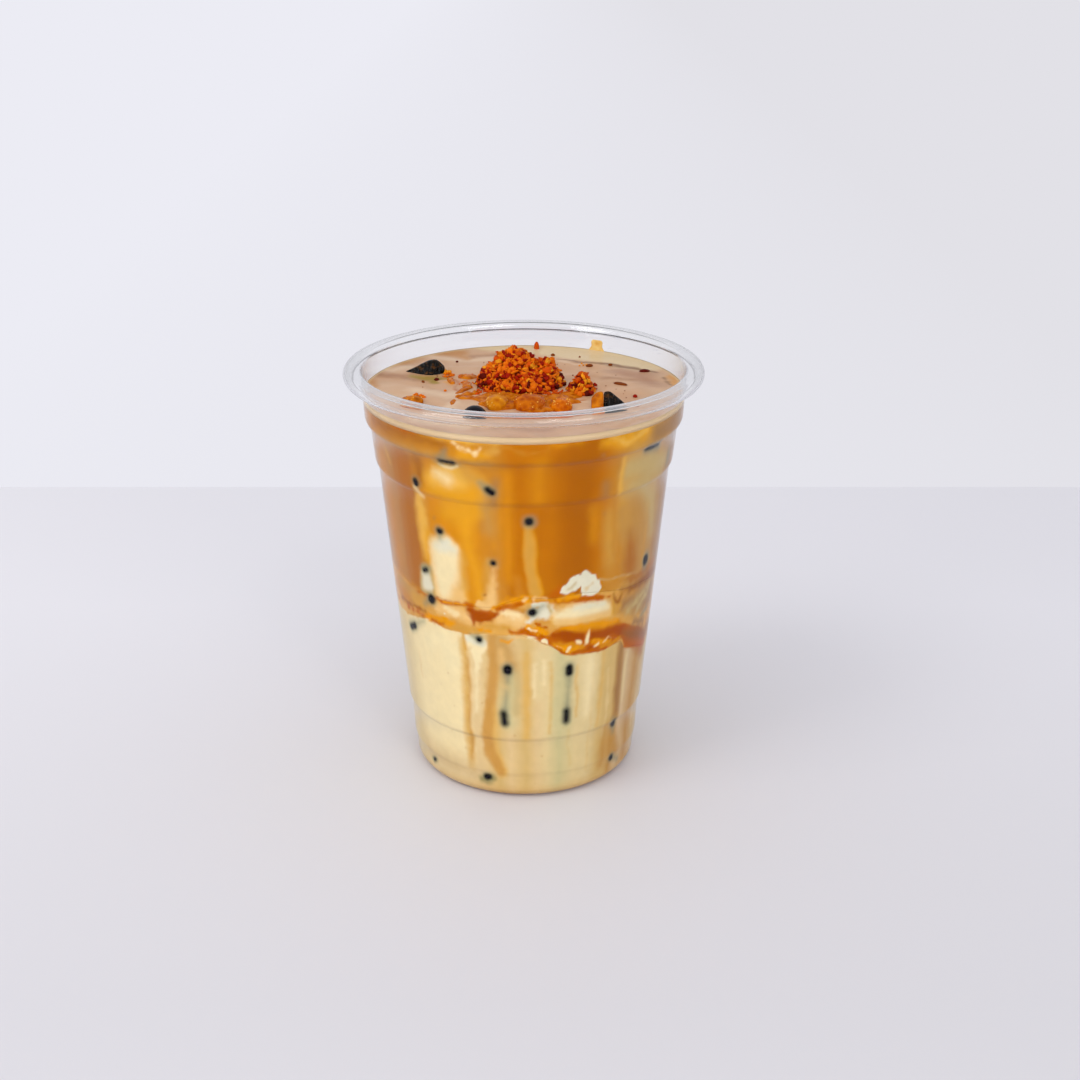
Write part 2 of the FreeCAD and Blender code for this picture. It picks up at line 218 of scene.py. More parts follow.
# The cup: thin clear plastic, moulded with two ledges under the rim and two above the foot.
cupSizes = {
    "wall": 0.35,
    "panelLift": 1.8,
    "panelEdge": 24.45,
    "ringInside": 26.85,
    "footRadius": 31.9,
    "footRounding": 3.65,
    "ledges": [(7.35, 32.26, 32.63, 2.0), (19.06, 33.15, 33.95, 1.94),
               (90.8, 40.31, 41.26, 2.5), (102.4, 42.25, 43.66, 2.5)],  # height, below, above, rise
    "brim": 44.3,
    "bend": 0.7,
    "curl": 1.6,
    "curlTurn": 235,
    "segments": 432,
    "footSteps": 8,
    "ledgeSteps": 6,
    "bendSteps": 4,
    "curlSteps": 30,
    "wallStep": 6,
    "plainWall": (30, 80),
}
plasticSizes = {
    "wall": {"index": 1.2, "edge": 0.16},
    "lip": {"index": 1.5, "edge": 1.0},
    # the grey of the painted edge shade laid on the plastic at grazing angles
    "grazingShadeTone": (186, 185, 192),
    "shadow": (0.97, 0.97, 0.975, 1),
    "lipAbove": 1.0,
}
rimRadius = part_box("cup")[1].x / mm
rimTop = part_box("cup")[1].z / mm
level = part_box("milk_foam")[1].z / mm


def wallPath():  # the outer side of the wall, from the foot's rounding to the brim
    sizes = cupSizes
    rounding = sizes["footRounding"]
    path = arc((sizes["footRadius"] - rounding, rounding), rounding, -90, 0, sizes["footSteps"])
    for height, below, above, rise in sizes["ledges"]:
        width = above - below
        sweep = (width ** 2 + rise ** 2) / (2 * width)
        turn = math.degrees(math.asin(rise / sweep))
        path += arc((above - sweep, height + rise), sweep, -turn, 0, sizes["ledgeSteps"])
    path.append((sizes["brim"], rimTop - sizes["bend"] - sizes["wall"]))
    return path


def alongWall(path, step):  # more points on the long straight runs
    out = [path[0]]
    for (r0, z0), (r1, z1) in zip(path, path[1:]):
        parts = max(1, round((z1 - z0) / step))
        out += [(r0 + (r1 - r0) * k / parts, z0 + (z1 - z0) * k / parts) for k in range(1, parts + 1)]
    return out


outerWall = wallPath()
outerRadii, outerHeights = np.array(outerWall).T
intoWall = 0.12  # the drink reaches this far into the plastic


def drinkRadius(height):
    return np.interp(height, outerHeights, outerRadii) - cupSizes["wall"] + intoWall


def clearPlastic(name, index, edge):
    finish = Finish(name)
    haze = finish.noise(60, 2)
    plastic = finish.surface(Base_Color=(1, 1, 1, 1), Roughness=finish.between(haze, 0.0, 0.05),
                             IOR=index, Transmission_Weight=1.0)
    # at grazing angles the plastic turns a lit grey: painted shade along its edges, standing in for its
    # reflections
    grazingShade = finish.surface(Base_Color=rgba(plasticSizes["grazingShadeTone"]), Roughness=0.3)
    facing = finish.add("LayerWeight", None, {"Blend": 0.5}, "Facing")
    seen = finish.over(facing ** 4 * edge, plastic, grazingShade)
    through = finish.add("BsdfTransparent", None, {"Color": plasticSizes["shadow"]})
    return finish.done(finish.over(finish.add("LightPath", output="Is Shadow Ray"), seen, through))


def makeCup():
    sizes = cupSizes
    lift = sizes["panelLift"]
    bend = sizes["bend"]
    skin = sizes["wall"]
    curlCentre = (rimRadius - sizes["curl"], rimTop - sizes["curl"])
    path = [(0, lift), (sizes["panelEdge"], lift), (sizes["ringInside"], 0)]
    path += alongWall(outerWall, sizes["wallStep"])
    path += arc((sizes["brim"] + bend, rimTop - skin - bend), bend, 180, 90, sizes["bendSteps"])[1:]
    path += arc(curlCentre, sizes["curl"] - skin, 90, 90 - sizes["curlTurn"], sizes["curlSteps"])
    bm = spun([(radius * mm, height * mm) for radius, height in path], sizes["segments"])
    cup = asPiece(bm, "clearCup", clearPlastic("clearWall", **plasticSizes["wall"]), ["cup"])
    cup.data.materials.append(clearPlastic("clearLip", **plasticSizes["lip"]))
    low, high = sizes["plainWall"]
    facing = 0
    for face in cup.data.polygons:
        height = face.center.z / mm
        face.material_index = int(height > level + plasticSizes["lipAbove"])
        if low < height < high:
            facing += face.normal.x * face.center.x + face.normal.y * face.center.y
    if facing < 0:
        cup.data.flip_normals()
    thicken(cup, skin, -1).use_even_offset = True
    print("cup made")


# Painting: colours laid on the points of the drink, in degrees round the cup (0 in front,
# positive to the right) and millimetres up it, or in millimetres on its top.
def grain(across, up, size, seed, turn=None):  # smooth random values, from -1 to 1
    rng = np.random.default_rng(seed)
    count = round(turn / size[0]) if turn else 997
    table = rng.uniform(-1, 1, (count, 401))
    u = across / size[0]
    v = up / size[1] + 150
    iu = np.floor(u).astype(int)
    iv = np.floor(v).astype(int)
    fu = smoothed(u - iu)
    fv = smoothed(v - iv)
    rows = [table[iu % count, k % 401] * (1 - fu) + table[(iu + 1) % count, k % 401] * fu
            for k in (iv, iv + 1)]
    return rows[0] * (1 - fv) + rows[1] * fv


def smoothed(part):
    return part * part * (3 - 2 * part)


def twoGrains(across, up, sizes, seed, share, turn=None):  # a coarse grain with a finer one on it
    coarse, fine = sizes
    return grain(across, up, coarse, seed, turn) + share * grain(across, up, fine, seed + 1, turn)


class Canvas:
    def __init__(self, across, up, unit, turn, warp):
        self.turn = turn
        self.unit = unit  # millimetres in one unit across
        self.across = across + warp[0] * twoGrains(across, up, [(8, 6), (3, 2.5)], 1, 0.5, turn)
        self.up = up + warp[1] * twoGrains(across, up, [(9, 5), (3, 2)], 3, 0.5, turn)
        self.rough = twoGrains(across, up, [(2, 1.2), (1, 0.7)], 5, 0.6, turn)
        self.colour = np.zeros((len(across), 3))

    def lay(self, chosen, mask, colour):
        part = self.colour[chosen]
        self.colour[chosen] = part + mask[:, None] * (toLinear(colour) - part)

    def blend(self, mask, colour):
        self.colour += mask[:, None] * (toLinear(colour) - self.colour)

    def below(self, height, soft, ragged=0):  # 1 under a height, fading to 0 at it
        return np.clip((height + self.rough * ragged - self.up) / soft, 0, 1)

    def columns(self, stops):  # colours that change round the cup
        places = [place for place, tone in stops]
        shades = toLinear([tones[tone] for place, tone in stops])
        parts = [np.interp(self.across, places, shade, period=self.turn) for shade in shades.T]
        self.colour = np.stack(parts, 1)

    def stroke(self, colour, points, soft, ragged, strength):
        spread = max(wide for place, height, wide in points) + soft + abs(ragged) * 1.6
        places = [place for place, height, wide in points]
        heights = [height for place, height, wide in points]
        left = min(places) - spread / self.unit
        right = max(places) + spread / self.unit
        beside = (self.across >= left) & (self.across <= right)
        abreast = (self.up >= min(heights) - spread) & (self.up <= max(heights) + spread)
        chosen = np.nonzero(beside & abreast)[0]
        if not len(chosen):
            return
        x = self.across[chosen] * self.unit
        y = self.up[chosen]
        nearest = np.full(len(chosen), 1e9)
        for (a0, z0, w0), (a1, z1, w1) in list(zip(points, points[1:])) or [(points[0], points[0])]:
            dx = (a1 - a0) * self.unit
            dy = z1 - z0
            reach = dx * dx + dy * dy + 1e-9
            t = np.clip(((x - a0 * self.unit) * dx + (y - z0) * dy) / reach, 0, 1)
            away = np.hypot(x - a0 * self.unit - t * dx, y - z0 - t * dy)
            nearest = np.minimum(nearest, away - (w0 + (w1 - w0) * t))
        mask = np.clip(0.5 - (nearest + self.rough[chosen] * ragged) / soft, 0, 1)
        self.lay(chosen, smoothed(mask) * strength, colour)

    def strokeRound(self, colour, points, soft, ragged, strength):  # past 180 degrees it goes on from -180
        for turn in (0,) if points[-1][0] < 170 else (0, -360):
            self.stroke(colour, [(a + turn, z, w) for a, z, w in points], soft, ragged, strength)

    def strokes(self, several, strength, soften, palette=None):
        for tone, soft, ragged, points in several:
            self.stroke((palette or tones)[tone], points, soft * soften, ragged, strength)

    def band(self, colour, lines, soft, ragged):  # between two lines, where they stand apart
        lower = np.array(lines["lower"])
        upper = np.array(lines["upper"])
        left = min(lower[0, 0], upper[0, 0])
        right = max(lower[-1, 0], upper[-1, 0])
        chosen = np.nonzero((self.across >= left) & (self.across <= right))[0]
        x = self.across[chosen]
        low = np.interp(x, *lower.T)
        high = np.interp(x, *upper.T)
        y = self.up[chosen] + self.rough[chosen] * ragged
        mask = np.clip(0.5 + (y - low) / soft, 0, 1) * np.clip(0.5 + (high - y) / soft, 0, 1)
        self.lay(chosen, mask * (high - low > 0.05), colour)


tones = {
    "deepOrange": (192, 113, 2), "darkOrange": (177, 100, 2), "tanBrown": (178, 108, 34),
    "russet": (164, 98, 24), "gold": (232, 180, 78), "amberGold": (226, 160, 30), "orange": (213, 139, 15),
    "ochre": (200, 132, 36), "tan": (210, 156, 66), "dun": (196, 146, 72), "leftDun": (186, 130, 66),
    "cream": (240, 223, 178), "white": (228, 222, 198), "peach": (234, 192, 124), "apricot": (224, 172, 86),
    "caramel": (190, 96, 1), "deepCaramel": (168, 76, 1), "goldCaramel": (230, 154, 4),
    "khaki": (200, 174, 116), "brownMauve": (166, 122, 72), "redBrown": (152, 92, 36),
    "halo": (138, 138, 112), "pearl": (10, 12, 15), "green": (112, 108, 46), "amberFoot": (206, 162, 96),
    "pale": (242, 218, 166), "footShade": (214, 186, 138), "sandPale": (224, 196, 144),
    "sandDeep": (199, 155, 87), "milk": (240, 221, 174), "milkShade": (224, 202, 150),
    "milkGreen": (206, 194, 144), "sand": (214, 182, 118), "blush": (216, 188, 146),
    "stripe": (220, 176, 96), "stripeDeep": (202, 150, 74),
}
# Round the sides, from about 55 to 90 degrees either way, the column tones also hold painted shade where the
# wall turns from the light.
coffeeColumns = [
    (-170, "deepOrange"), (-150, "darkOrange"), (-132, "amberGold"), (-115, "ochre"), (-95, "tanBrown"),
    (-78, "leftDun"), (-66, "leftDun"), (-58, "leftDun"), (-51, "tanBrown"), (-46, "tanBrown"),
    (-42, "ochre"), (-33, "orange"), (-22, "orange"), (-15, "ochre"), (-9, "ochre"), (-4, "deepOrange"),
    (11, "deepOrange"), (17, "darkOrange"), (24, "darkOrange"), (29, "deepOrange"), (34, "ochre"),
    (41, "tan"), (50, "dun"), (60, "dun"), (72, "brownMauve"), (85, "tanBrown"), (105, "ochre"),
    (125, "deepOrange"), (150, "tan"),
]
milkColumns = [
    (-175, "milkShade"), (-140, "milk"), (-110, "blush"), (-85, "milkShade"), (-66, "milkShade"),
    (-54, "milk"), (-46, "milk"), (-31, "milk"), (-20, "sandPale"), (-12, "sand"), (-6, "sandPale"),
    (1, "sand"), (6, "sandPale"), (11, "milkShade"), (17, "milkGreen"), (25, "milkShade"), (33, "milkShade"),
    (39, "sand"), (44, "sand"), (48, "dun"), (53, "blush"), (62, "dun"), (74, "sand"), (90, "blush"),
    (115, "milkShade"), (145, "milk"),
]
milkTop = [
    (-180, 49.5), (-150, 52), (-120, 54), (-90, 53), (-75, 50.8), (-62, 50.4), (-55, 51.8), (-50, 52.3),
    (-44, 53.4), (-40, 52.9), (-36, 52.1), (-27, 51.8), (-22, 52.2), (-15, 53), (0, 53), (8, 50.5),
    (12, 49.3), (18, 46.4), (22, 45.4), (40, 45.3), (47, 45.8), (51, 42.6), (60, 41), (70, 38.5),
    (90, 39), (120, 42), (150, 46),
]
caramelTop = [
    (-180, 62.6), (-130, 62), (-100, 63), (-70, 63), (-60, 62), (-50, 61), (-38, 61.2), (-30, 60.3),
    (-22, 60.5), (-12, 61.2), (-6, 63), (0, 64.4), (10, 64), (16, 64), (23, 64.4), (36, 63.2),
    (45, 62), (60, 61), (70, 60), (90, 59.6), (130, 61),
]


def lineAt(line, across):
    return np.interp(across, *np.array(line).T, period=360)


# tone, softness, raggedness, then points of (degrees round, height, half width in mm)
coffeeStrokes = [
    ("ochre", 4, 0.3, [(-66, 104, 2), (-66, 80, 3), (-64, 66, 2.6)]),
    ("ochre", 4, 0.3, [(-20, 86, 1.2), (-19, 70, 2)]),
    ("ochre", 4, 0.3, [(40, 78, 1), (41, 66, 2.4)]),
    ("russet", 2.4, 0.3, [(-41, 104, 1.6), (-40.4, 95, 1.2)]),
    ("tanBrown", 1.8, 0.3, [(-40.4, 76, 0.4), (-40.2, 69, 0.8), (-40.4, 63, 0.8)]),
    ("tan", 1.4, 0.3, [(-61, 101, 0.3), (-58, 97, 0.4)]),
    ("orange", 4.5, 0.3, [(-36, 90, 3), (-30, 86, 6.4), (-24, 80, 5.6), (-22, 70, 3.6)]),
    ("amberGold", 2.6, 0.4, [(-33.5, 95, 3.6), (-26, 96, 6.4), (-19, 95.6, 4.6), (-17, 90, 3.4)]),
    ("amberGold", 3.4, 0.3, [(-29, 88, 2.6), (-22, 88, 3)]),
    # painted highlight on the upper left of the golden lump: the gold patch and its pale core
    ("gold", 3, 0.2, [(-34, 97, 2.2), (-29, 98, 3.2), (-24, 97.6, 3)]),
    ("pale", 2.6, 0.2, [(-32.5, 98.4, 0.9), (-28, 97, 1.2)]),
    ("tan", 2.6, 0.2, [(-20, 99.6, 1.8), (-15.4, 97, 1.6)]),
    ("dun", 1.4, 0.3, [(-33, 101.6, 0.5), (-22, 101.8, 0.5)]),
    ("cream", 0.7, 0.1, [(-31.2, 101.2, 0.16), (-29, 100.5, 0.3), (-26, 100.3, 0.36), (-23.4, 101.2, 0.16)]),
    ("dun", 3, 0.3, [(-13, 94.4, 1), (-13.4, 91, 1.6), (-12.6, 84, 1.4)]),
    ("brownMauve", 2.8, 0.2, [(-9.6, 97.6, 0.7), (-10.4, 92, 0.9)]),
    ("gold", 2, 0.3, [(-42.6, 90, 1.5), (-43, 84, 2), (-42, 78, 1.8), (-41.6, 73, 1)]),
    ("amberGold", 2.6, 0.3, [(-40.6, 70, 1), (-40, 80, 0.8)]),
    ("amberGold", 2.8, 0.3, [(-23, 92, 1.6), (-22, 86, 2.2), (-21.4, 78, 1.2), (-18.6, 70, 1.2),
                              (-18, 63, 1.2)]),
    ("gold", 2, 0.2, [(-31.9, 75, 5.6), (-31.9, 66, 5.7), (-31.8, 62, 5.6)]),
    ("peach", 1.3, 0.15, [(-32, 75.4, 4.9), (-32.2, 66, 5), (-32, 63, 5)]),
    ("cream", 2.4, 0.2, [(-32.4, 75.6, 4.5), (-32.8, 69, 4.1), (-34, 64, 2.4)]),
    ("white", 2, 0.3, [(-35.4, 76.8, 1.2), (-31.8, 77.6, 1.8), (-28.2, 77, 1.2)]),
    ("white", 1.2, 0.3, [(-33.8, 78.4, 0.8), (-30, 78.8, 0.7)]),
    ("tan", 2.4, 0.2, [(-24.2, 76, 0.5), (-24.4, 66, 0.7)]),
    ("khaki", 1.2, 0.25, [(-43, 67.6, 2.2), (-43.2, 64.6, 2.7), (-43.4, 62.2, 2.6)]),
    ("white", 1.4, 0.25, [(-43.4, 66.6, 1.4), (-43, 64, 1.8)]),
    ("tan", 1.8, 0.4, [(-14.4, 75, 0.7), (-14, 68, 1.4), (-13.4, 62, 2.2)]),
    ("peach", 2, 0.4, [(-11.2, 73, 0.6), (-12.4, 67, 1.2), (-13.4, 61.4, 1.9)]),
    ("ochre", 2.4, 0.3, [(-8.4, 70, 0.5), (-8.6, 63.5, 1)]),
    ("orange", 2.4, 0.3, [(-5.4, 100, 1), (-5.6, 84, 1.2), (-5.4, 70, 0.8)]),
    ("ochre", 2.4, 0.3, [(-2, 70, 0.8), (-1, 65, 1.2)]),
    ("amberGold", 1.1, 0.15, [(2, 84.6, 1.1), (2.4, 80, 1.6), (3.6, 73, 1.6), (5.4, 66, 1.5)]),
    ("tan", 0.9, 0.15, [(2, 84.2, 0.9), (2.3, 80, 1.3), (3.2, 73, 1.3), (4.8, 66, 1.2)]),
    ("orange", 3.4, 0.3, [(6, 104, 1.2), (5.4, 94, 1.6)]),
    ("darkOrange", 3.5, 0.3, [(13, 104.4, 1), (26, 104.4, 1.4)]),
    ("darkOrange", 2.5, 0.3, [(21, 100, 1.6), (21.5, 88, 1.8), (22.4, 74, 1.6)]),
    ("brownMauve", 2.8, 0.2, [(31.4, 95, 1), (31, 92.4, 0.8)]),
    ("orange", 2.8, 0.3, [(27.6, 88, 1.2), (27.4, 80, 1.2)]),
    ("tan", 3.2, 0.3, [(34, 86, 1.2), (34.5, 79, 1.8), (36, 72, 1.2)]),
    ("tanBrown", 3.4, 0.3, [(47, 78, 1.8), (49, 68, 3)]),
    ("dun", 3, 0.2, [(41, 86, 1.2), (42, 78, 1.2)]),
    ("khaki", 3.6, 0.3, [(42, 98, 2.6), (52, 97.6, 3.8), (62, 95.4, 3)]),
    ("khaki", 5, 0.3, [(43, 93, 1.6), (52, 91.6, 3.4), (60, 86, 2.6), (63, 76, 1.4)]),
    ("dun", 4, 0.3, [(48, 86, 3), (50, 80, 3)]),
    ("gold", 1.4, 0.2, [(38, 101.4, 0.5), (37.8, 96, 0.6), (38.2, 92, 0.5)]),
    ("brownMauve", 1, 0.2, [(28, 104.2, 0.3)]), ("brownMauve", 1, 0.2, [(32, 86.7, 0.3)]),
    ("brownMauve", 1, 0.2, [(-35.8, 84.6, 0.25)]),
    ("khaki", 0.6, 0.25, [(32, 67.4, 0.1), (38, 66.4, 0.14), (45, 66.4, 0.12), (57, 65.4, 0.12)]),
    ("tan", 0.6, 0.25, [(36, 66.2, 0.1), (50, 65.6, 0.12)]),
    ("russet", 0.6, 0.3, [(-16, 64.8, 0.2)]), ("russet", 0.6, 0.3, [(-12, 66.6, 0.14), (-10.4, 66.8, 0.14)]),
    ("russet", 0.6, 0.3, [(-6.4, 66, 0.2), (-4.4, 65.4, 0.2)]), ("russet", 0.6, 0.3, [(-3.4, 67.6, 0.14)]),
    ("halo", 2.5, 0.1, [(69, 97, 0.9), (69, 94.6, 0.9)]),
    # the bulge under the rim
    ("ochre", 3, 0.4, [(-68, 106.6, 2.6), (-30, 106.4, 2.6), (-24, 106.6, 1.8)]),
    ("russet", 2.6, 0.5, [(-64, 107.4, 1.2), (-40, 107.8, 1.4), (-28, 107, 0.9)]),
    ("caramel", 1.4, 0.4, [(-50, 108.6, 0.4), (-40, 108.5, 0.5)]),
    ("dun", 2.2, 0.4, [(-62, 103.4, 0.9), (-30, 103.4, 0.8), (-12, 103.2, 0.6)]),
    ("gold", 1.4, 0.3, [(-34, 109.3, 0.5), (-8, 109.2, 0.9)]),
    ("amberGold", 2.2, 0.5, [(-20, 105.4, 1.4), (-12, 106, 1)]),
    ("pale", 0.9, 0.5, [(-23, 108.2, 0.3), (-19.4, 106.8, 0.35), (-16, 106, 0.4), (-13.4, 107.4, 0.25)]),
    ("ochre", 1.2, 0.5, [(-14.5, 108.9, 0.4), (-10, 108.2, 0.7)]),
    ("tan", 1.4, 0.5, [(-12, 106.6, 0.5), (-8, 107, 0.8)]),
    ("amberGold", 0.9, 0.5, [(-2, 109.5, 0.3), (12, 109.5, 0.3)]),
    ("ochre", 1, 0.6, [(-4, 107.6, 0.2), (2, 106.4, 0.25), (8, 107.2, 0.2)]),
    ("orange", 1.4, 0.5, [(9, 108.4, 0.4), (20, 108.6, 0.5)]),
    ("amberGold", 1.8, 0.5, [(28, 107.4, 1), (36, 107, 1.8), (47, 107.8, 1.6)]),
    ("gold", 1.2, 0.3, [(31, 108.8, 0.5), (38, 106, 0.6), (47, 108.6, 0.7)]),
    ("brownMauve", 2.4, 0.4, [(54, 106.5, 2.2), (70, 106.8, 2.4)]),
]
milkStrokes = [
    ("tanBrown", 2.6, 0.2, [(60, 43, 2.4), (64, 40.6, 2.4), (69, 37, 1.6)]),
    ("milk", 3, 0.3, [(-52, 44, 4), (-40, 47, 5), (-36, 36, 5.5), (-36, 26, 4.5)]),
    ("cream", 3, 0.3, [(-46, 46, 2.6), (-38, 49, 3), (-33, 42, 3)]),
    ("stripe", 1.8, 0.2, [(-26.8, 49, 1.2), (-26.4, 38, 1.2), (-27.2, 24, 1.4), (-27, 9, 1.5)]),
    ("stripeDeep", 1.3, 0.2, [(-25.6, 44, 0.3), (-25.2, 34, 0.4), (-26, 20, 0.5), (-26.4, 12, 0.5)]),
    ("sandPale", 1.6, 0.2, [(-21, 44, 1.7), (-21.6, 32, 1.5), (-22, 20, 1.4), (-21.6, 9, 1.6)]),
    ("cream", 2, 0.2, [(-21.6, 40, 0.5), (-22, 28, 0.3)]),
    ("stripeDeep", 1.3, 0.2, [(-13, 52.4, 1.5), (-13.2, 45, 1.7), (-14.2, 37, 1.6), (-15, 29, 1.6)]),
    ("stripe", 1.6, 0.2, [(-15, 29, 1.8), (-15.6, 20, 2.4), (-15, 15, 2.4), (-10.6, 8.8, 1.9)]),
    ("stripeDeep", 1.3, 0.2, [(-15.4, 31, 1.2), (-17.4, 21, 2), (-16.6, 14, 2.3), (-11.6, 9, 1.6)]),
    ("footShade", 6, 0.2, [(-58, 8, 3), (-40, 7, 3.6), (-26, 7, 3)]),
    ("sandDeep", 2.2, 0.2, [(-9, 51, 2.4), (-7, 44, 3), (-5.6, 36, 2.2), (-4, 29, 1)]),
    ("peach", 2.4, 0.2, [(-9.4, 47.6, 0.6), (-9, 44, 0.6)]),
    ("milkGreen", 3.2, 0.2, [(-5.6, 40, 1.6), (-6.2, 31, 2.2), (-6.6, 25, 1.8)]),
    ("stripe", 1.5, 0.2, [(0.9, 47, 0.8), (1.3, 34, 1.1), (1.2, 21, 1)]),
    ("milkShade", 2, 0.2, [(6.4, 47, 1.6), (6.6, 34, 1.4)]),
    ("milk", 1.4, 0.2, [(4.2, 44, 0.3), (4.4, 34, 0.25)]),
    ("milk", 1.4, 0.2, [(8.4, 45, 0.4), (8.6, 38, 0.3)]),
    ("stripe", 1.4, 0.2, [(11.4, 44, 0.2), (12.4, 30, 0.35), (12, 22, 0.2)]),
    ("milkGreen", 3.2, 0.2, [(17.6, 42, 1.4), (16.6, 31, 2.2), (17.4, 25, 1.8)]),
    ("stripe", 1.2, 0.2, [(24.2, 42, 0.2), (24.6, 34, 0.3), (24.2, 26, 0.15)]),
    ("milk", 2.6, 0.2, [(30, 43, 1.6), (31, 32, 1.6), (30, 26, 1)]),
    ("stripe", 1.4, 0.2, [(37, 44.5, 0.4), (37.4, 32, 0.5), (36.4, 21, 0.3)]),
    ("brownMauve", 1.8, 0.2, [(48, 43.4, 1.6), (48.2, 36, 1.7), (48.6, 28, 1.6), (49.4, 20, 1.2)]),
    ("dun", 2.4, 0.2, [(49, 20, 1.6), (50, 12, 2.2), (52, 8, 2)]),
    ("milkShade", 1.2, 0.2, [(52.8, 40, 0.5), (52.6, 31, 0.7), (53.4, 25, 0.4)]),
    ("dun", 2.8, 0.2, [(43.6, 20, 0.7), (43.4, 12, 1.8), (42.6, 7, 1.6)]),
    ("cream", 0.9, 0.25, [(-23.4, 49.8, 1.7), (-18.4, 49, 1.9), (-20.6, 46.6, 1.7), (-20.8, 41, 0.6)]),
    ("white", 0.8, 0.3, [(-24.4, 50.6, 0.9), (-21, 49.8, 0.9), (-17.6, 50, 1.2)]),
    ("tan", 0.8, 0.2, [(-26.4, 51.6, 0.3), (-25.8, 47, 0.2)]),
]
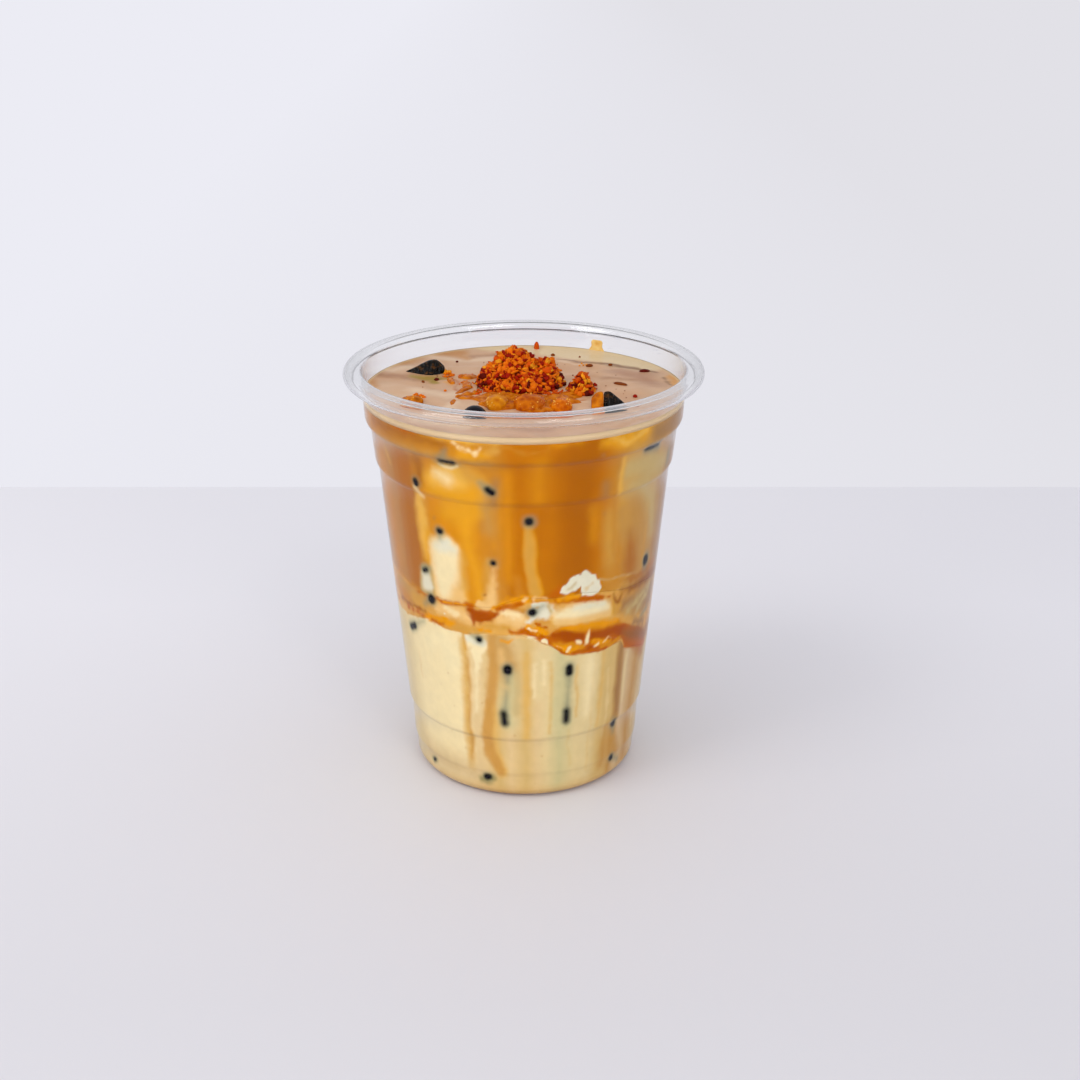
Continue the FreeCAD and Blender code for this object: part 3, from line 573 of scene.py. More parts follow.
middleStrokes = [
    ("ochre", 3, 0.5, [(-70, 58, 3), (-58, 57.4, 2.6)]),
    ("dun", 2.4, 0.5, [(-66, 60, 1.6), (-50, 58.6, 1.8)]),
    ("tan", 2, 0.5, [(-54, 57.4, 1.8), (-46, 56.8, 1.6)]),
    ("peach", 2, 0.5, [(-38, 57.8, 1.7), (-28, 57.8, 1.8), (-22, 56.6, 1.4)]),
    ("pale", 1.4, 0.4, [(-34, 58.8, 0.7), (-29, 57.4, 0.8)]),
    ("white", 0.5, 0.3, [(-34.8, 56.8, 0.35)]),
    ("goldCaramel", 1.1, 0.6, [(-46, 53.9, 0.8), (-38, 54.2, 1.5), (-31, 54.4, 1.2)]),
    ("caramel", 0.9, 0.4, [(-42, 53.4, 0.4), (-36, 53.2, 0.5)]),
    ("tan", 1.2, 0.5, [(-30, 53.4, 0.6), (-20, 53.6, 0.6), (-16, 53.8, 0.4)]),
    ("goldCaramel", 0.8, 0.5, [(-18, 54, 0.4), (-14, 54.2, 0.4)]),
    ("russet", 1.4, 0.5, [(-66, 54.6, 0.6), (-46, 55, 0.4)]),
    ("caramel", 1.2, 0.5, [(-60, 53.2, 0.3), (-47, 53.8, 0.4)]),
    ("peach", 1.8, 0.5, [(-9, 57.4, 1.8), (0, 57.2, 2)]),
    ("tan", 1.6, 0.5, [(-14, 55.8, 0.7), (-6, 55.6, 0.7)]),
    ("pale", 1.4, 0.4, [(-7, 59.6, 1), (-2, 59, 1.2)]),
    ("ochre", 1.2, 0.4, [(-4, 61.4, 0.6), (0, 60.4, 0.4)]),
    ("deepCaramel", 1, 0.4, [(-23.4, 59.4, 1.1), (-18.5, 58.2, 2), (-14, 58.5, 1.5), (-10.6, 59.2, 0.4)]),
    ("deepCaramel", 0.9, 0.3, [(-20.4, 57, 0.9), (-20.6, 55.2, 0.3)]),
    ("caramel", 1.2, 0.3, [(-17, 60.2, 0.3), (-13, 59.6, 0.4)]),
    ("caramel", 0.8, 0.4, [(-50, 60.4, 0.3), (-38, 60.6, 0.4), (-28, 60.4, 0.6), (-22, 60.9, 0.7)]),
    ("ochre", 1.4, 0.5, [(-68, 62.4, 0.6), (-48, 61.4, 0.6)]),
    ("goldCaramel", 0.6, 0.2, [(-35, 60.6, 0.16), (-25, 60.5, 0.25)]),
    ("peach", 0.6, 0.35, [(-18.4, 61.6, 1), (-15, 60.8, 0.9), (-12.8, 61.8, 0.9)]),
    ("goldCaramel", 1, 0.6, [(-12, 61, 0.5), (-7, 62.6, 0.9), (-2, 63.6, 1.2), (3, 64, 0.8)]),
    ("caramel", 0.9, 0.5, [(-10.5, 60.4, 0.4), (-6, 61.8, 0.7), (-1, 62.8, 0.6)]),
    ("peach", 0.5, 0.4, [(0.6, 63.8, 0.3), (1.6, 64.4, 0.2)]),
    ("orange", 0.9, 0.6, [(4, 63.8, 0.7), (10, 63.4, 0.7), (14, 62.8, 0.6)]),
    ("peach", 0.7, 0.5, [(4.6, 64.6, 0.2), (9, 64.2, 0.25)]),
    ("caramel", 1.1, 0.5, [(11, 64.6, 0.6), (13.5, 65.4, 0.9), (14.4, 67, 0.5)]),
    ("white", 1.2, 0.45, [(4.6, 59.6, 1.6), (8, 60, 2.2), (10.5, 60.2, 1.5)]),
    ("white", 0.7, 0.45, [(4.6, 62.2, 0.7), (8, 62.6, 0.6), (2.4, 57.2, 0.7)]),
    ("khaki", 1, 0.3, [(9.8, 61.4, 0.5), (11.4, 59.6, 0.5)]),
    ("tan", 0.7, 0.3, [(13.8, 61.9, 0.5)]),
    ("gold", 1.3, 0.4, [(13, 57.8, 1.2), (20, 57.2, 2), (30, 57, 2.2), (39, 57, 1.8)]),
    ("cream", 2, 0.35, [(14.4, 58.4, 1.5), (22, 58.6, 2.3), (31, 58.6, 2.5), (36.6, 58, 1.8)]),
    ("peach", 1.8, 0.3, [(15, 56.6, 0.9), (24, 56, 1), (38, 56, 0.8)]),
    ("white", 1.8, 0.3, [(22, 60, 0.6), (30, 60.2, 0.7), (35, 59.6, 0.6)]),
    ("caramel", 0.7, 0.35, [(13.6, 63.2, 0.8), (20, 62.8, 0.9), (27, 62.4, 0.9), (35, 61.7, 0.5)]),
    ("goldCaramel", 0.7, 0.4, [(14.4, 63.4, 0.6), (18.5, 63.6, 0.9), (22.4, 63.8, 0.6)]),
    ("caramel", 0.5, 0.3, [(24, 62.8, 0.3), (32, 62.4, 0.4), (38.6, 61.2, 0.16)]),
    ("tan", 1.2, 0.3, [(24, 64.6, 0.3), (34, 63.8, 0.3)]),
    ("redBrown", 1.8, 0.4, [(45, 61.4, 0.6), (55, 61.4, 1.3), (70, 61.2, 2)]),
    ("tanBrown", 2.4, 0.4, [(50, 64.2, 0.8), (70, 64.6, 1.2)]),
    ("brownMauve", 3.4, 0.4, [(47, 57, 2), (56, 55.8, 3.6), (70, 55, 4.6)]),
    ("khaki", 2.6, 0.5, [(50, 54.6, 0.9), (58, 56.4, 1.2), (68, 58, 0.8)]),
    ("khaki", 2.6, 0.5, [(58, 53, 0.8), (66, 55.4, 1)]),
    ("halo", 2.4, 0.4, [(63, 49.8, 0.4), (68, 50.6, 0.4)]),
    ("tan", 0.9, 0.2, [(40.6, 58.6, 0.8), (41.6, 55.5, 1), (43.6, 57, 0.8)]),
    ("russet", 0.9, 0.2, [(40.6, 61.4, 0.3), (41.8, 58.9, 0.35), (43.4, 58.2, 0.4), (44.8, 60.4, 0.3)]),
    ("caramel", 0.8, 0.6, [(-5.6, 54.1, 0.6), (-1, 54, 0.9)]),
    ("caramel", 0.7, 0.7, [(1, 54.8, 1.2), (5, 53.6, 1.9), (9.4, 52, 1.4)]),
    ("goldCaramel", 0.7, 0.7, [(2, 56, 0.6), (5.8, 54.8, 1), (9, 53.2, 0.8)]),
    ("caramel", 0.6, 0.6, [(5, 56.6, 0.3), (8.6, 55.6, 0.4)]),
    ("cream", 0.5, 0.5, [(3, 55.2, 0.3), (5.4, 54.6, 0.26)]),
    ("cream", 0.5, 0.5, [(7.6, 51.4, 0.4), (9.6, 50.8, 0.25)]),
    ("cream", 0.6, 0.4, [(2.4, 52.2, 0.5), (4.4, 51.6, 0.4)]),
    ("goldCaramel", 0.7, 0.3, [(-9, 51.2, 0.5), (-6.4, 50.7, 0.5), (-4.4, 51.8, 0.4)]),
    ("peach", 1, 0.4, [(-3, 52.4, 0.6), (1, 52.4, 0.6)]),
]
caramelBand = {  # the thick lower run of caramel, front right
    "upper": [(9.5, 50.6), (11.5, 54), (16, 55.2), (20, 54.6), (27, 54), (35, 53.2), (45, 52.2), (49, 50.6),
              (56, 48.6), (64, 45.8), (72, 42)],
    "lower": [(9.5, 50.4), (13, 48.9), (17.5, 46.6), (22, 45.6), (28, 45.3), (35, 45.2), (42, 45.6),
              (48, 46.4), (51, 42.6), (60, 40.8), (72, 38)],
}
caramelStrokes = [
    ("orange", 2.2, 0.3, [(14, 53.4, 0.8), (24, 53.2, 1), (36, 52.6, 0.9), (45, 51.4, 0.8)]),
    ("goldCaramel", 1.4, 0.4, [(16, 54.4, 0.8), (24, 53.8, 0.8), (34, 53.5, 0.8), (43, 52.4, 0.7)]),
    ("deepCaramel", 1, 0.4, [(12.6, 52.6, 0.9), (16, 53, 1.2), (20, 52, 1.4), (24, 51, 1.2),
                             (26.6, 50.2, 0.7)]),
    ("deepCaramel", 1.4, 0.4, [(30.4, 50.8, 1), (37, 50.6, 1.1), (43, 50.2, 1.3), (47, 49, 1.6)]),
    ("orange", 0.9, 0.5, [(12, 50.4, 0.4), (15, 50, 0.7), (18, 48.8, 1.1), (22, 48.6, 1.5), (26, 47.2, 0.9)]),
    ("goldCaramel", 0.8, 0.6, [(14, 49.6, 0.4), (19, 48.2, 1), (23, 47.4, 1)]),
    ("goldCaramel", 0.9, 0.5, [(31.6, 48.2, 1), (36, 47.8, 0.8), (41, 47.2, 0.5)]),
    ("caramel", 0.8, 0.4, [(22, 46.4, 0.3), (30, 46.4, 0.8), (35, 45.9, 0.5)]),
    ("orange", 0.7, 0.4, [(35, 46.6, 0.4), (43, 46.4, 0.6), (47, 47, 0.5)]),
    ("pale", 0.4, 0.5, [(14.4, 49.4, 0.12), (17.4, 48.6, 0.16)]),
    ("pale", 0.45, 0.5, [(19, 47.4, 0.25), (20.6, 48.4, 0.3)]),
    ("pale", 0.45, 0.5, [(22.6, 50.2, 0.2), (25.6, 49, 0.25)]),
    ("pale", 0.5, 0.4, [(31, 47.4, 0.22), (33.4, 47.8, 0.25)]),
    ("peach", 0.5, 0.4, [(36, 47.6, 0.12), (39, 49, 0.14), (41, 48.2, 0.12)]),
    ("deepCaramel", 0.5, 0.4, [(28.6, 46.8, 0.5), (30.4, 47.2, 0.3)]),
    ("peach", 0.5, 0.3, [(27.8, 48.2, 0.55), (28.6, 51.4, 0.75), (28.8, 52.4, 0.3)]),
    ("cream", 0.4, 0.3, [(28, 48.6, 0.25), (28.8, 51.4, 0.4)]),
    ("redBrown", 3.4, 0.4, [(50, 48, 1), (54, 46.4, 1.8), (62, 44.6, 2), (72, 41.8, 1)]),
    ("caramel", 1.3, 0.4, [(51, 43.4, 0.4), (58, 41.9, 0.6), (72, 39, 0.8)]),
    ("brownMauve", 2, 0.4, [(56, 49.6, 0.8), (66, 47.2, 1)]),
]
jaggedLump = {  # a torn white lump above the upper caramel line
    "upper": [(14, 65.6), (15.6, 67.4), (18, 69), (20, 70), (23, 70.3), (25, 71.2), (27, 70.2), (30, 68.8),
              (31, 67.6), (33.4, 65.6)],
    "lower": [(14, 65.4), (17, 64.6), (19, 65), (21.6, 65.4), (23.4, 66.2), (24.4, 63.4), (28, 63),
              (32, 63.4), (33.4, 65)],
}
lumpShades = [
    ("khaki", 1.2, 0.4, [(18, 66.4, 0.3), (21, 67.6, 0.5)]),
    ("sand", 1, 0.4, [(26, 65.6, 0.4), (29, 66.6, 0.3)]),
]
backStrokes = [
    ("khaki", 2.2, 0.3, [(104, 96.4, 4), (105, 88, 3), (106, 80, 1.4)]),
    ("gold", 2.4, 0.3, [(-114, 96.4, 3.8), (-113, 87, 2.8), (-112, 72, 1.6)]),
    ("orange", 3, 0.3, [(-98, 92, 2.2), (-97, 76, 2.4), (-99, 66, 1.4)]),
    ("amberGold", 2.6, 0.3, [(165, 98, 4.4), (166, 88, 3), (164, 72, 1.8)]),
    ("darkOrange", 3, 0.3, [(138, 100, 2), (140, 84, 2.6), (139, 70, 1.8)]),
    ("darkOrange", 3, 0.3, [(-150, 102, 2.2), (-152, 86, 2.6), (-151, 72, 1.6)]),
    ("gold", 1.8, 0.2, [(-131, 77, 3.2), (-131, 70, 3), (-130, 63, 2.6)]),
    ("cream", 1.6, 0.3, [(-131, 77, 2.4), (-131, 70, 1.8)]),
    ("peach", 2.2, 0.3, [(123, 75, 1), (124, 68, 1.8), (123, 62.5, 2.2)]),
    ("white", 0.5, 0.55, [(148, 65, 1.4), (152, 66.8, 2), (157, 66.4, 1.8), (160, 64.6, 0.9)]),
    ("cream", 1.3, 0.35, [(140, 58.6, 1.5), (150, 58.2, 2.2), (162, 58, 1.8)]),
    ("caramel", 0.7, 0.4, [(136, 62.4, 0.5), (148, 62.2, 0.9), (160, 62, 0.7), (172, 61, 0.4)]),
    ("caramel", 0.8, 0.6, [(-178, 55, 0.8), (-166, 56, 1.4), (-152, 56.6, 0.9), (-140, 57, 0.4)]),
    ("goldCaramel", 0.8, 0.6, [(-174, 53.8, 0.5), (-160, 54.8, 0.8), (-146, 55.6, 0.5)]),
    ("deepCaramel", 1.2, 0.4, [(-128, 59, 1), (-122, 58.6, 1.6), (-114, 59.6, 0.8)]),
    ("goldCaramel", 0.9, 0.6, [(-108, 61.6, 0.5), (-98, 62.4, 0.8), (-84, 61.8, 0.5)]),
    ("caramel", 0.9, 0.5, [(-120, 56, 0.5), (-104, 55.4, 0.9), (-88, 55, 0.5)]),
    ("redBrown", 2, 0.4, [(76, 60, 1.6), (90, 60.6, 1.2), (104, 61, 0.6)]),
    ("redBrown", 2, 0.4, [(74, 43, 2), (88, 43.6, 2.6), (100, 45, 1.6)]),
    ("caramel", 0.9, 0.5, [(76, 40, 0.5), (96, 42, 0.7), (116, 44.6, 0.6)]),
    ("goldCaramel", 0.9, 0.5, [(104, 46.6, 0.9), (118, 47.4, 1), (130, 48.6, 0.6)]),
    ("caramel", 0.8, 0.5, [(112, 50, 1.2), (124, 51, 1.5), (138, 51.4, 0.8)]),
    ("tan", 1.4, 0.2, [(86, 38, 0.7), (87, 26, 1), (86, 10, 1.2)]),
    ("gold", 1.6, 0.2, [(108, 41, 0.6), (107, 28, 0.9), (108, 9, 1.1)]),
    ("tan", 1.4, 0.2, [(133, 46, 1), (131, 32, 1.3), (134, 18, 1.5), (137, 8, 1.4)]),
    ("tanBrown", 2, 0.2, [(163, 46, 0.9), (165, 34, 1.3), (166, 16, 1.1)]),
    ("gold", 1.6, 0.2, [(-170, 48, 0.6), (-171, 30, 0.9), (-170, 10, 1.2)]),
    ("tan", 1.5, 0.2, [(-146, 50, 0.8), (-145, 36, 1.2), (-147, 22, 1.3), (-150, 9, 1.4)]),
    ("cream", 2.2, 0.3, [(-128, 46, 3.2), (-124, 36, 3.4)]),
    ("gold", 1.6, 0.2, [(-104, 50, 0.6), (-103, 36, 0.9), (-105, 12, 1.2)]),
    ("khaki", 3, 0.2, [(-84, 40, 2), (-83, 28, 2.4)]),
]
# pearls against the wall: degrees round, height, half width and half height of what shows, tilt
pearlSpots = [
    (-27.5, 102.3, 2.3, 0.55, 0), (-42.6, 94.2, 0.8, 1, 20), (-11.6, 95.3, 1.3, 0.7, -38),
    (-33.7, 81.4, 0.9, 0.75, 0), (2.3, 86.8, 1, 0.95, 0), (-11.5, 74.5, 0.7, 0.6, 0),
    (-43.6, 68.2, 1.1, 0.55, 25), (-41.6, 59.8, 1.1, 1.2, -20), (3.6, 60.1, 1.05, 0.85, 10),
    (-19, 50.9, 0.85, 0.75, -10), (-57.8, 47.8, 2.2, 0.8, 26), (-7, 42.3, 1.1, 1.3, 0),
    (20.3, 41.2, 0.95, 1.6, 0), (-9, 26.6, 0.85, 2.3, 6), (19.8, 26.6, 0.85, 2.3, 0),
    (53.4, 102.3, 3.2, 0.65, 0), (60.6, 67.4, 1.2, 1.4, 0), (49, 18.8, 0.95, 1.15, 20),
    (50, 7, 1, 0.9, -35), (-18.6, 6.4, 1.3, 0.9, 10), (-53.5, 5.4, 0.9, 0.5, 25),
    (84, 88, 1, 0.9, 10), (96, 71, 1.1, 0.8, -20), (112, 101.8, 2, 0.6, 0), (128, 92, 0.9, 1.1, 15),
    (146, 83, 1, 0.9, 0), (171, 76, 0.8, 0.9, 0), (-165, 96, 1.1, 0.8, -30), (-141, 87, 1, 1, 0),
    (-122, 101.8, 2.1, 0.6, 0), (-93, 84, 1, 0.9, 20), (-78, 71, 0.9, 0.9, 0), (-132, 67.5, 1.2, 0.7, 20),
    (104, 57.5, 1, 1, 0), (157, 59.6, 1.1, 0.8, 0), (-172, 58.6, 1, 0.9, 10), (-104, 57.6, 1, 1, 0),
    (92, 33, 0.8, 1.9, 4), (121, 24, 0.9, 2.1, 0), (148, 38, 0.9, 1.2, 0), (176, 20, 0.9, 2.2, -4),
    (-158, 40, 1, 1.2, 0), (-133, 27, 0.85, 2.2, 0), (-112, 44, 1, 1, 0), (-92, 19, 0.9, 1.3, 15),
    (118, 6.4, 1.1, 0.8, 0), (-144, 6.2, 1.2, 0.8, 0), (-98, 6, 0.9, 0.7, 20),
]
pearlTails = [  # halo colours beside a pearl
    ("halo", 1.6, 0.1, [(-28.4, 103.6, 1), (-26.6, 105.8, 0.2)]),
    ("pale", 1, 0.1, [(-43.2, 92.6, 0.6), (-41.8, 91, 0.5), (-40.2, 90.2, 0.2)]),
    ("halo", 1.8, 0.1, [(-15, 97.4, 0.4), (-12, 95.6, 0.9)]),
    ("halo", 1.8, 0.1, [(-34, 81, 0.9), (-34, 79.4, 0.5)]),
    ("halo", 2, 0.1, [(2.8, 86.6, 1.2)]),
    ("halo", 2.2, 0.1, [(-44.6, 68.4, 0.8), (-41.2, 69.2, 0.5)]),
    ("halo", 2.2, 0.1, [(-42.6, 59.4, 1), (-46, 57.6, 0.5)]),
    ("halo", 2, 0.1, [(4, 60.2, 0.8), (8, 62, 0.3)]),
    ("halo", 1.6, 0.1, [(-19.4, 51, 0.8), (-22.4, 51.8, 0.3)]),
    ("halo", 2.4, 0.1, [(-60, 47.2, 0.9), (-54.5, 49.4, 0.6), (-48.4, 51.6, 0.15)]),
    ("halo", 2.2, 0.1, [(-7, 43, 1), (-7, 38.6, 0.5)]),
    ("halo", 2.2, 0.1, [(20.2, 42.4, 0.7), (20.4, 37.4, 0.6)]),
    ("halo", 2.2, 0.1, [(-9, 25.6, 0.8), (-8.4, 30.6, 0.6), (-7.6, 35, 0.1)]),
    ("halo", 2.2, 0.1, [(19.8, 25.6, 0.8), (20, 31, 0.6), (20.2, 36, 0.1)]),
    ("halo", 2.4, 0.1, [(50, 102, 0.6), (57, 101.4, 0.9)]),
    ("halo", 2.8, 0.1, [(60.6, 68, 1.2), (60.8, 65.4, 0.8)]),
    ("halo", 2.2, 0.1, [(47.4, 20.2, 0.5), (49.4, 18.4, 0.9), (49.6, 15.6, 0.3)]),
    ("halo", 2, 0.1, [(49.4, 7.4, 0.7), (56, 5, 0.6)]),
    ("green", 1.8, 0.2, [(-22, 5.2, 0.6), (-18.6, 5.4, 1.3), (-16, 6, 0.8)]),
    ("green", 1.6, 0.2, [(-55, 5, 0.4), (-52, 5.8, 0.4)]),
]
specks = [(-38, 18.5), (-34, 27.7), (-21.8, 22.5), (-19.2, 30.8), (18.3, 23), (27.8, 23.3), (-4.3, 21.3),
          (8.8, 14), (5.5, 5), (-52, 33), (-46, 30.5), (-41, 33.4), (-36, 38), (-30, 14.6), (33, 12),
          (-36, 84.6), (16, 78), (-3, 67), (36, 72.6)]
# How the far side goes on: flecks along the caramel's two lines, bits between them, then upright runs.
farSide = (80, 280)
farFlecks = [
    {"line": caramelTop, "side": -1, "count": 26, "wide": (0.3, 0.8), "bend": (4, 9), "bow": (0.6, 1.8),
     "end": (10, 14), "lifts": (-0.8, -0.7), "shares": (1, 1.3, 0.5), "ragged": 0.7,
     "tones": ["caramel", "goldCaramel", "orange"]},
    {"line": milkTop, "side": 1, "count": 22, "wide": (0.4, 1.2), "bend": (3, 8), "bow": (0.6, 1.6),
     "end": (9, 14), "lifts": (0.6, 0.4), "shares": (0.6, 1, 0.4), "ragged": 0.8,
     "tones": ["caramel", "goldCaramel", "deepCaramel"]},
]
farBits = {"count": 30, "over": 2.5, "under": 1.8, "wide": (0.7, 1.9),
           "tones": ["cream", "peach", "peach", "pale", "tan", "ochre"]}
farRuns = [
    {"count": 16, "top": (72, 103), "long": (10, 30), "wide": (1.0, 3.2), "floor": 64, "share": 0.6,
     "soft": 3.6, "ragged": 0.3, "tones": ["amberGold", "tan", "orange", "ochre", "darkOrange", "khaki"]},
    {"count": 26, "top": (24, 47), "long": (12, 34), "wide": (0.4, 1.8), "floor": 5, "share": 1.2,
     "soft": 2.4, "ragged": 0.2, "tones": ["stripe", "stripeDeep", "pale", "milkGreen", "sandPale", "cream"]},
]
streaks = {
    "coffee": {"names": ["orange", "tan", "darkOrange", "tanBrown", "amberGold"], "count": 46,
               "span": (64, 104), "thickest": 0.6},
    "milk": {"names": ["stripe", "pale", "cream", "milkGreen"], "count": 60,
             "span": (6, 46), "thickest": 0.5},
}
wallSizes = {
    "degree": 0.69,  # millimetres round the wall
    "warp": (0.7, 0.35),
    "shadeTop": 24,
    "shadeReach": 20,
    "shade": (0.04, 0.06, 0.10),
    "foot": (4.8, 3.0, 0.6),  # height, reach and strength
    "edge": (1.6, 1.2, 0.75),
    "caramelLine": (0.3, 0.6, 0.25),  # lift, softness and raggedness
    "milkLine": (0.25, 0.5, 0.2),
}


def strew(canvas, rng, names, count, span, thickest):  # fine upright streaks all round
    for k in range(count):
        place = rng.uniform(-180, 180)
        low, high = sorted(rng.uniform(*span, 2))
        thin = rng.uniform(0.15, thickest)
        points = [(place, low, thin), (place + rng.uniform(-1.4, 1.4), high, thin * 0.4)]
        canvas.stroke(tones[rng.choice(names)], points, 1.6, 0.2, 0.3)


def strewBehind(canvas, rng):
    for kind in farFlecks:
        for k in range(kind["count"]):
            place = rng.uniform(*farSide)
            start = float(lineAt(kind["line"], place))
            wide = rng.uniform(*kind["wide"])
            bend = place + rng.uniform(*kind["bend"])
            bow = start + kind["side"] * rng.uniform(*kind["bow"])
            end = place + rng.uniform(*kind["end"])
            heights = (start + kind["lifts"][0], bow, start + kind["lifts"][1])
            widths = [wide * share for share in kind["shares"]]
            points = list(zip((place, bend, end), heights, widths))
            canvas.strokeRound(tones[rng.choice(kind["tones"])], points, 0.9, kind["ragged"], 0.9)
    for k in range(farBits["count"]):
        place = rng.uniform(*farSide)
        low = float(lineAt(milkTop, place)) + farBits["over"]
        height = rng.uniform(low, float(lineAt(caramelTop, place)) - farBits["under"])
        wide = rng.uniform(*farBits["wide"])
        points = [(place, height, wide), (place + rng.uniform(3, 7), height + rng.uniform(-0.6, 0.6), wide)]
        canvas.strokeRound(tones[rng.choice(farBits["tones"])], points, 1.8, 0.6, 0.8)
    for kind in farRuns:
        for k in range(kind["count"]):
            place = rng.uniform(*farSide)
            high = rng.uniform(*kind["top"])
            low = max(high - rng.uniform(*kind["long"]), kind["floor"])
            wide = rng.uniform(*kind["wide"])
            points = [(place, high, wide), (place + rng.uniform(-2, 2), low, wide * kind["share"])]
            canvas.strokeRound(tones[rng.choice(kind["tones"])], points, kind["soft"], kind["ragged"], 0.6)


def paintPearls(canvas):
    canvas.strokes(pearlTails, 0.85, 1.7)
    for place, height, wide, high, tilt in pearlSpots:
        turn = math.radians(tilt) + (math.pi / 2 if high > wide else 0)
        long, short = max(wide, high), min(wide, high)
        dx = math.cos(turn) * (long - short) / canvas.unit
        dz = math.sin(turn) * (long - short)
        ends = [(place - dx, height - dz), (place + dx, height + dz)]
        soft = 2.2 if high > 2 * wide else 1.2
        canvas.stroke(tones["halo"], [(*end, short * 1.5) for end in ends], 3.2, 0.1, 0.7)
        canvas.stroke(tones["pearl"], [(*end, short * 1.25) for end in ends], soft, 0.1, 1)
    for place, height in specks:
        canvas.stroke(tones["tanBrown"], [(place, height, 0.16)], 0.5, 0.2, 0.6)


def paintWall(across, up):
    sizes = wallSizes
    canvas = Canvas(across, up, sizes["degree"], 360, sizes["warp"])
    rng = np.random.default_rng(31)
    canvas.columns(coffeeColumns)
    strew(canvas, rng, **streaks["coffee"])
    canvas.strokes(coffeeStrokes, 0.92, 1.6)
    coffee = canvas.colour
    canvas.columns(milkColumns)
    strew(canvas, rng, **streaks["milk"])
    canvas.strokes(milkStrokes, 0.92, 1.6)
    dim = canvas.below(sizes["shadeTop"], sizes["shadeReach"])
    canvas.colour *= 1 - dim[:, None] * np.array(sizes["shade"])
    height, reach, strength = sizes["foot"]
    canvas.blend(canvas.below(height, reach) * strength, tones["amberFoot"])
    milk = canvas.colour
    canvas.colour = np.tile(toLinear(tones["apricot"]), (len(up), 1))
    cloud = 0.5 + 0.4 * grain(across, up, (9, 3), 12, 360) + 0.2 * grain(across, up, (4, 1.5), 11, 360)
    canvas.blend(np.clip(cloud, 0, 1) * 0.6, tones["ochre"])
    middle = canvas.colour
    lift, soft, ragged = sizes["caramelLine"]
    inMiddle = canvas.below(lineAt(caramelTop, canvas.across) + lift, soft, ragged)[:, None]
    lift, soft, ragged = sizes["milkLine"]
    inMilk = canvas.below(lineAt(milkTop, canvas.across) + lift, soft, ragged)[:, None]
    canvas.colour = coffee + inMiddle * (middle - coffee)
    canvas.colour += inMilk * (milk - canvas.colour)
    canvas.strokes(middleStrokes, 1, 1.6)
    canvas.band(tones["caramel"], caramelBand, 0.7, 0.35)
    canvas.strokes(caramelStrokes, 1, 1.3)
    canvas.band(tones["white"], jaggedLump, 0.45, 0.35)
    canvas.strokes(lumpShades, 0.6, 1)
    canvas.strokes(backStrokes, 0.75, 2.2)
    strewBehind(canvas, rng)
    height, reach, strength = sizes["edge"]
    canvas.blend(canvas.below(height, reach) * strength, tones["tanBrown"])
    canvas.across, canvas.up = across, up  # the pearls stay unwarped
    paintPearls(canvas)
    return canvas.colour


def drinkFinish(name):
    finish = Finish(name)
    tone = finish.painted("drinkTone")
    cloud = finish.ramp(finish.noise(320, 4, 0.6), 0.3, 0.7)
    shade = finish.mix(cloud, rgba((150, 150, 150)), rgba((255, 255, 255)))
    fine = finish.mix(0.10, tone, finish.mix(1.0, tone, shade, "MULTIPLY"))
    return finish.done(finish.surface(Base_Color=fine, Roughness=0.5, Specular_IOR_Level=0.0))


layerSizes = {"segments": 720, "row": 0.42, "floorGap": 0.23, "bottomLift": 1.8}


# A layer lies between two lines round the wall. Inside, each of its faces levels out.
def makeLayer(name, node, lowLine, highLine, bottom=((0, 0), (0.5, 0))):
    round360 = np.linspace(-180, 180, 361)
    lows = lineAt(lowLine, round360)
    highs = lineAt(highLine, round360)
    rows = round(float(np.max(highs - lows)) / layerSizes["row"])
    path = [(radius, -height) for radius, height in bottom] + [(1, k / rows) for k in range(rows + 1)]
    bm = wrapped(path + [(0.5, 1), (0, 1)], layerSizes["segments"])
    layer = asPiece(bm, name, drinkFinish(name + "Look"), [node])
    unit = vertexPlaces(layer.data)
    out = np.hypot(unit[:, 0], unit[:, 1])
    around = np.degrees(np.arctan2(unit[:, 0], -unit[:, 1]))
    part = np.clip(unit[:, 2], 0, 1)
    low = lineAt(lowLine, around)
    atWall = low + part * (lineAt(highLine, around) - low)
    mean = np.where(part > 0.5, np.mean(highs), np.mean(lows))
    height = atWall * out + mean * (1 - out) - np.minimum(unit[:, 2], 0)
    radius = drinkRadius(np.where(out < 1 - 1e-4, atWall, height)) * out
    angle = np.radians(around)
    setPlaces(layer.data, np.stack([radius * np.sin(angle), -radius * np.cos(angle), height], 1) * mm)
    setTones(layer.data, paintWall(around, height))
    print(name, "made,", rows, "rows")


def makeDrink():
    floor = layerSizes["floorGap"]
    lift = layerSizes["bottomLift"]
    bottomEdge = drinkRadius(floor)
    bottom = [(0, lift), (cupSizes["panelEdge"] / bottomEdge, lift), (cupSizes["ringInside"] / bottomEdge, 0)]
    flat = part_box("milk_foam")[0].z / mm
    makeLayer("milkLayer", "milk_layer", [(0, floor)], milkTop, bottom)
    makeLayer("caramelLayer", "caramel_layer", milkTop, caramelTop)
    makeLayer("coffeeLayer", "coffee_layer", caramelTop, [(0, flat)])


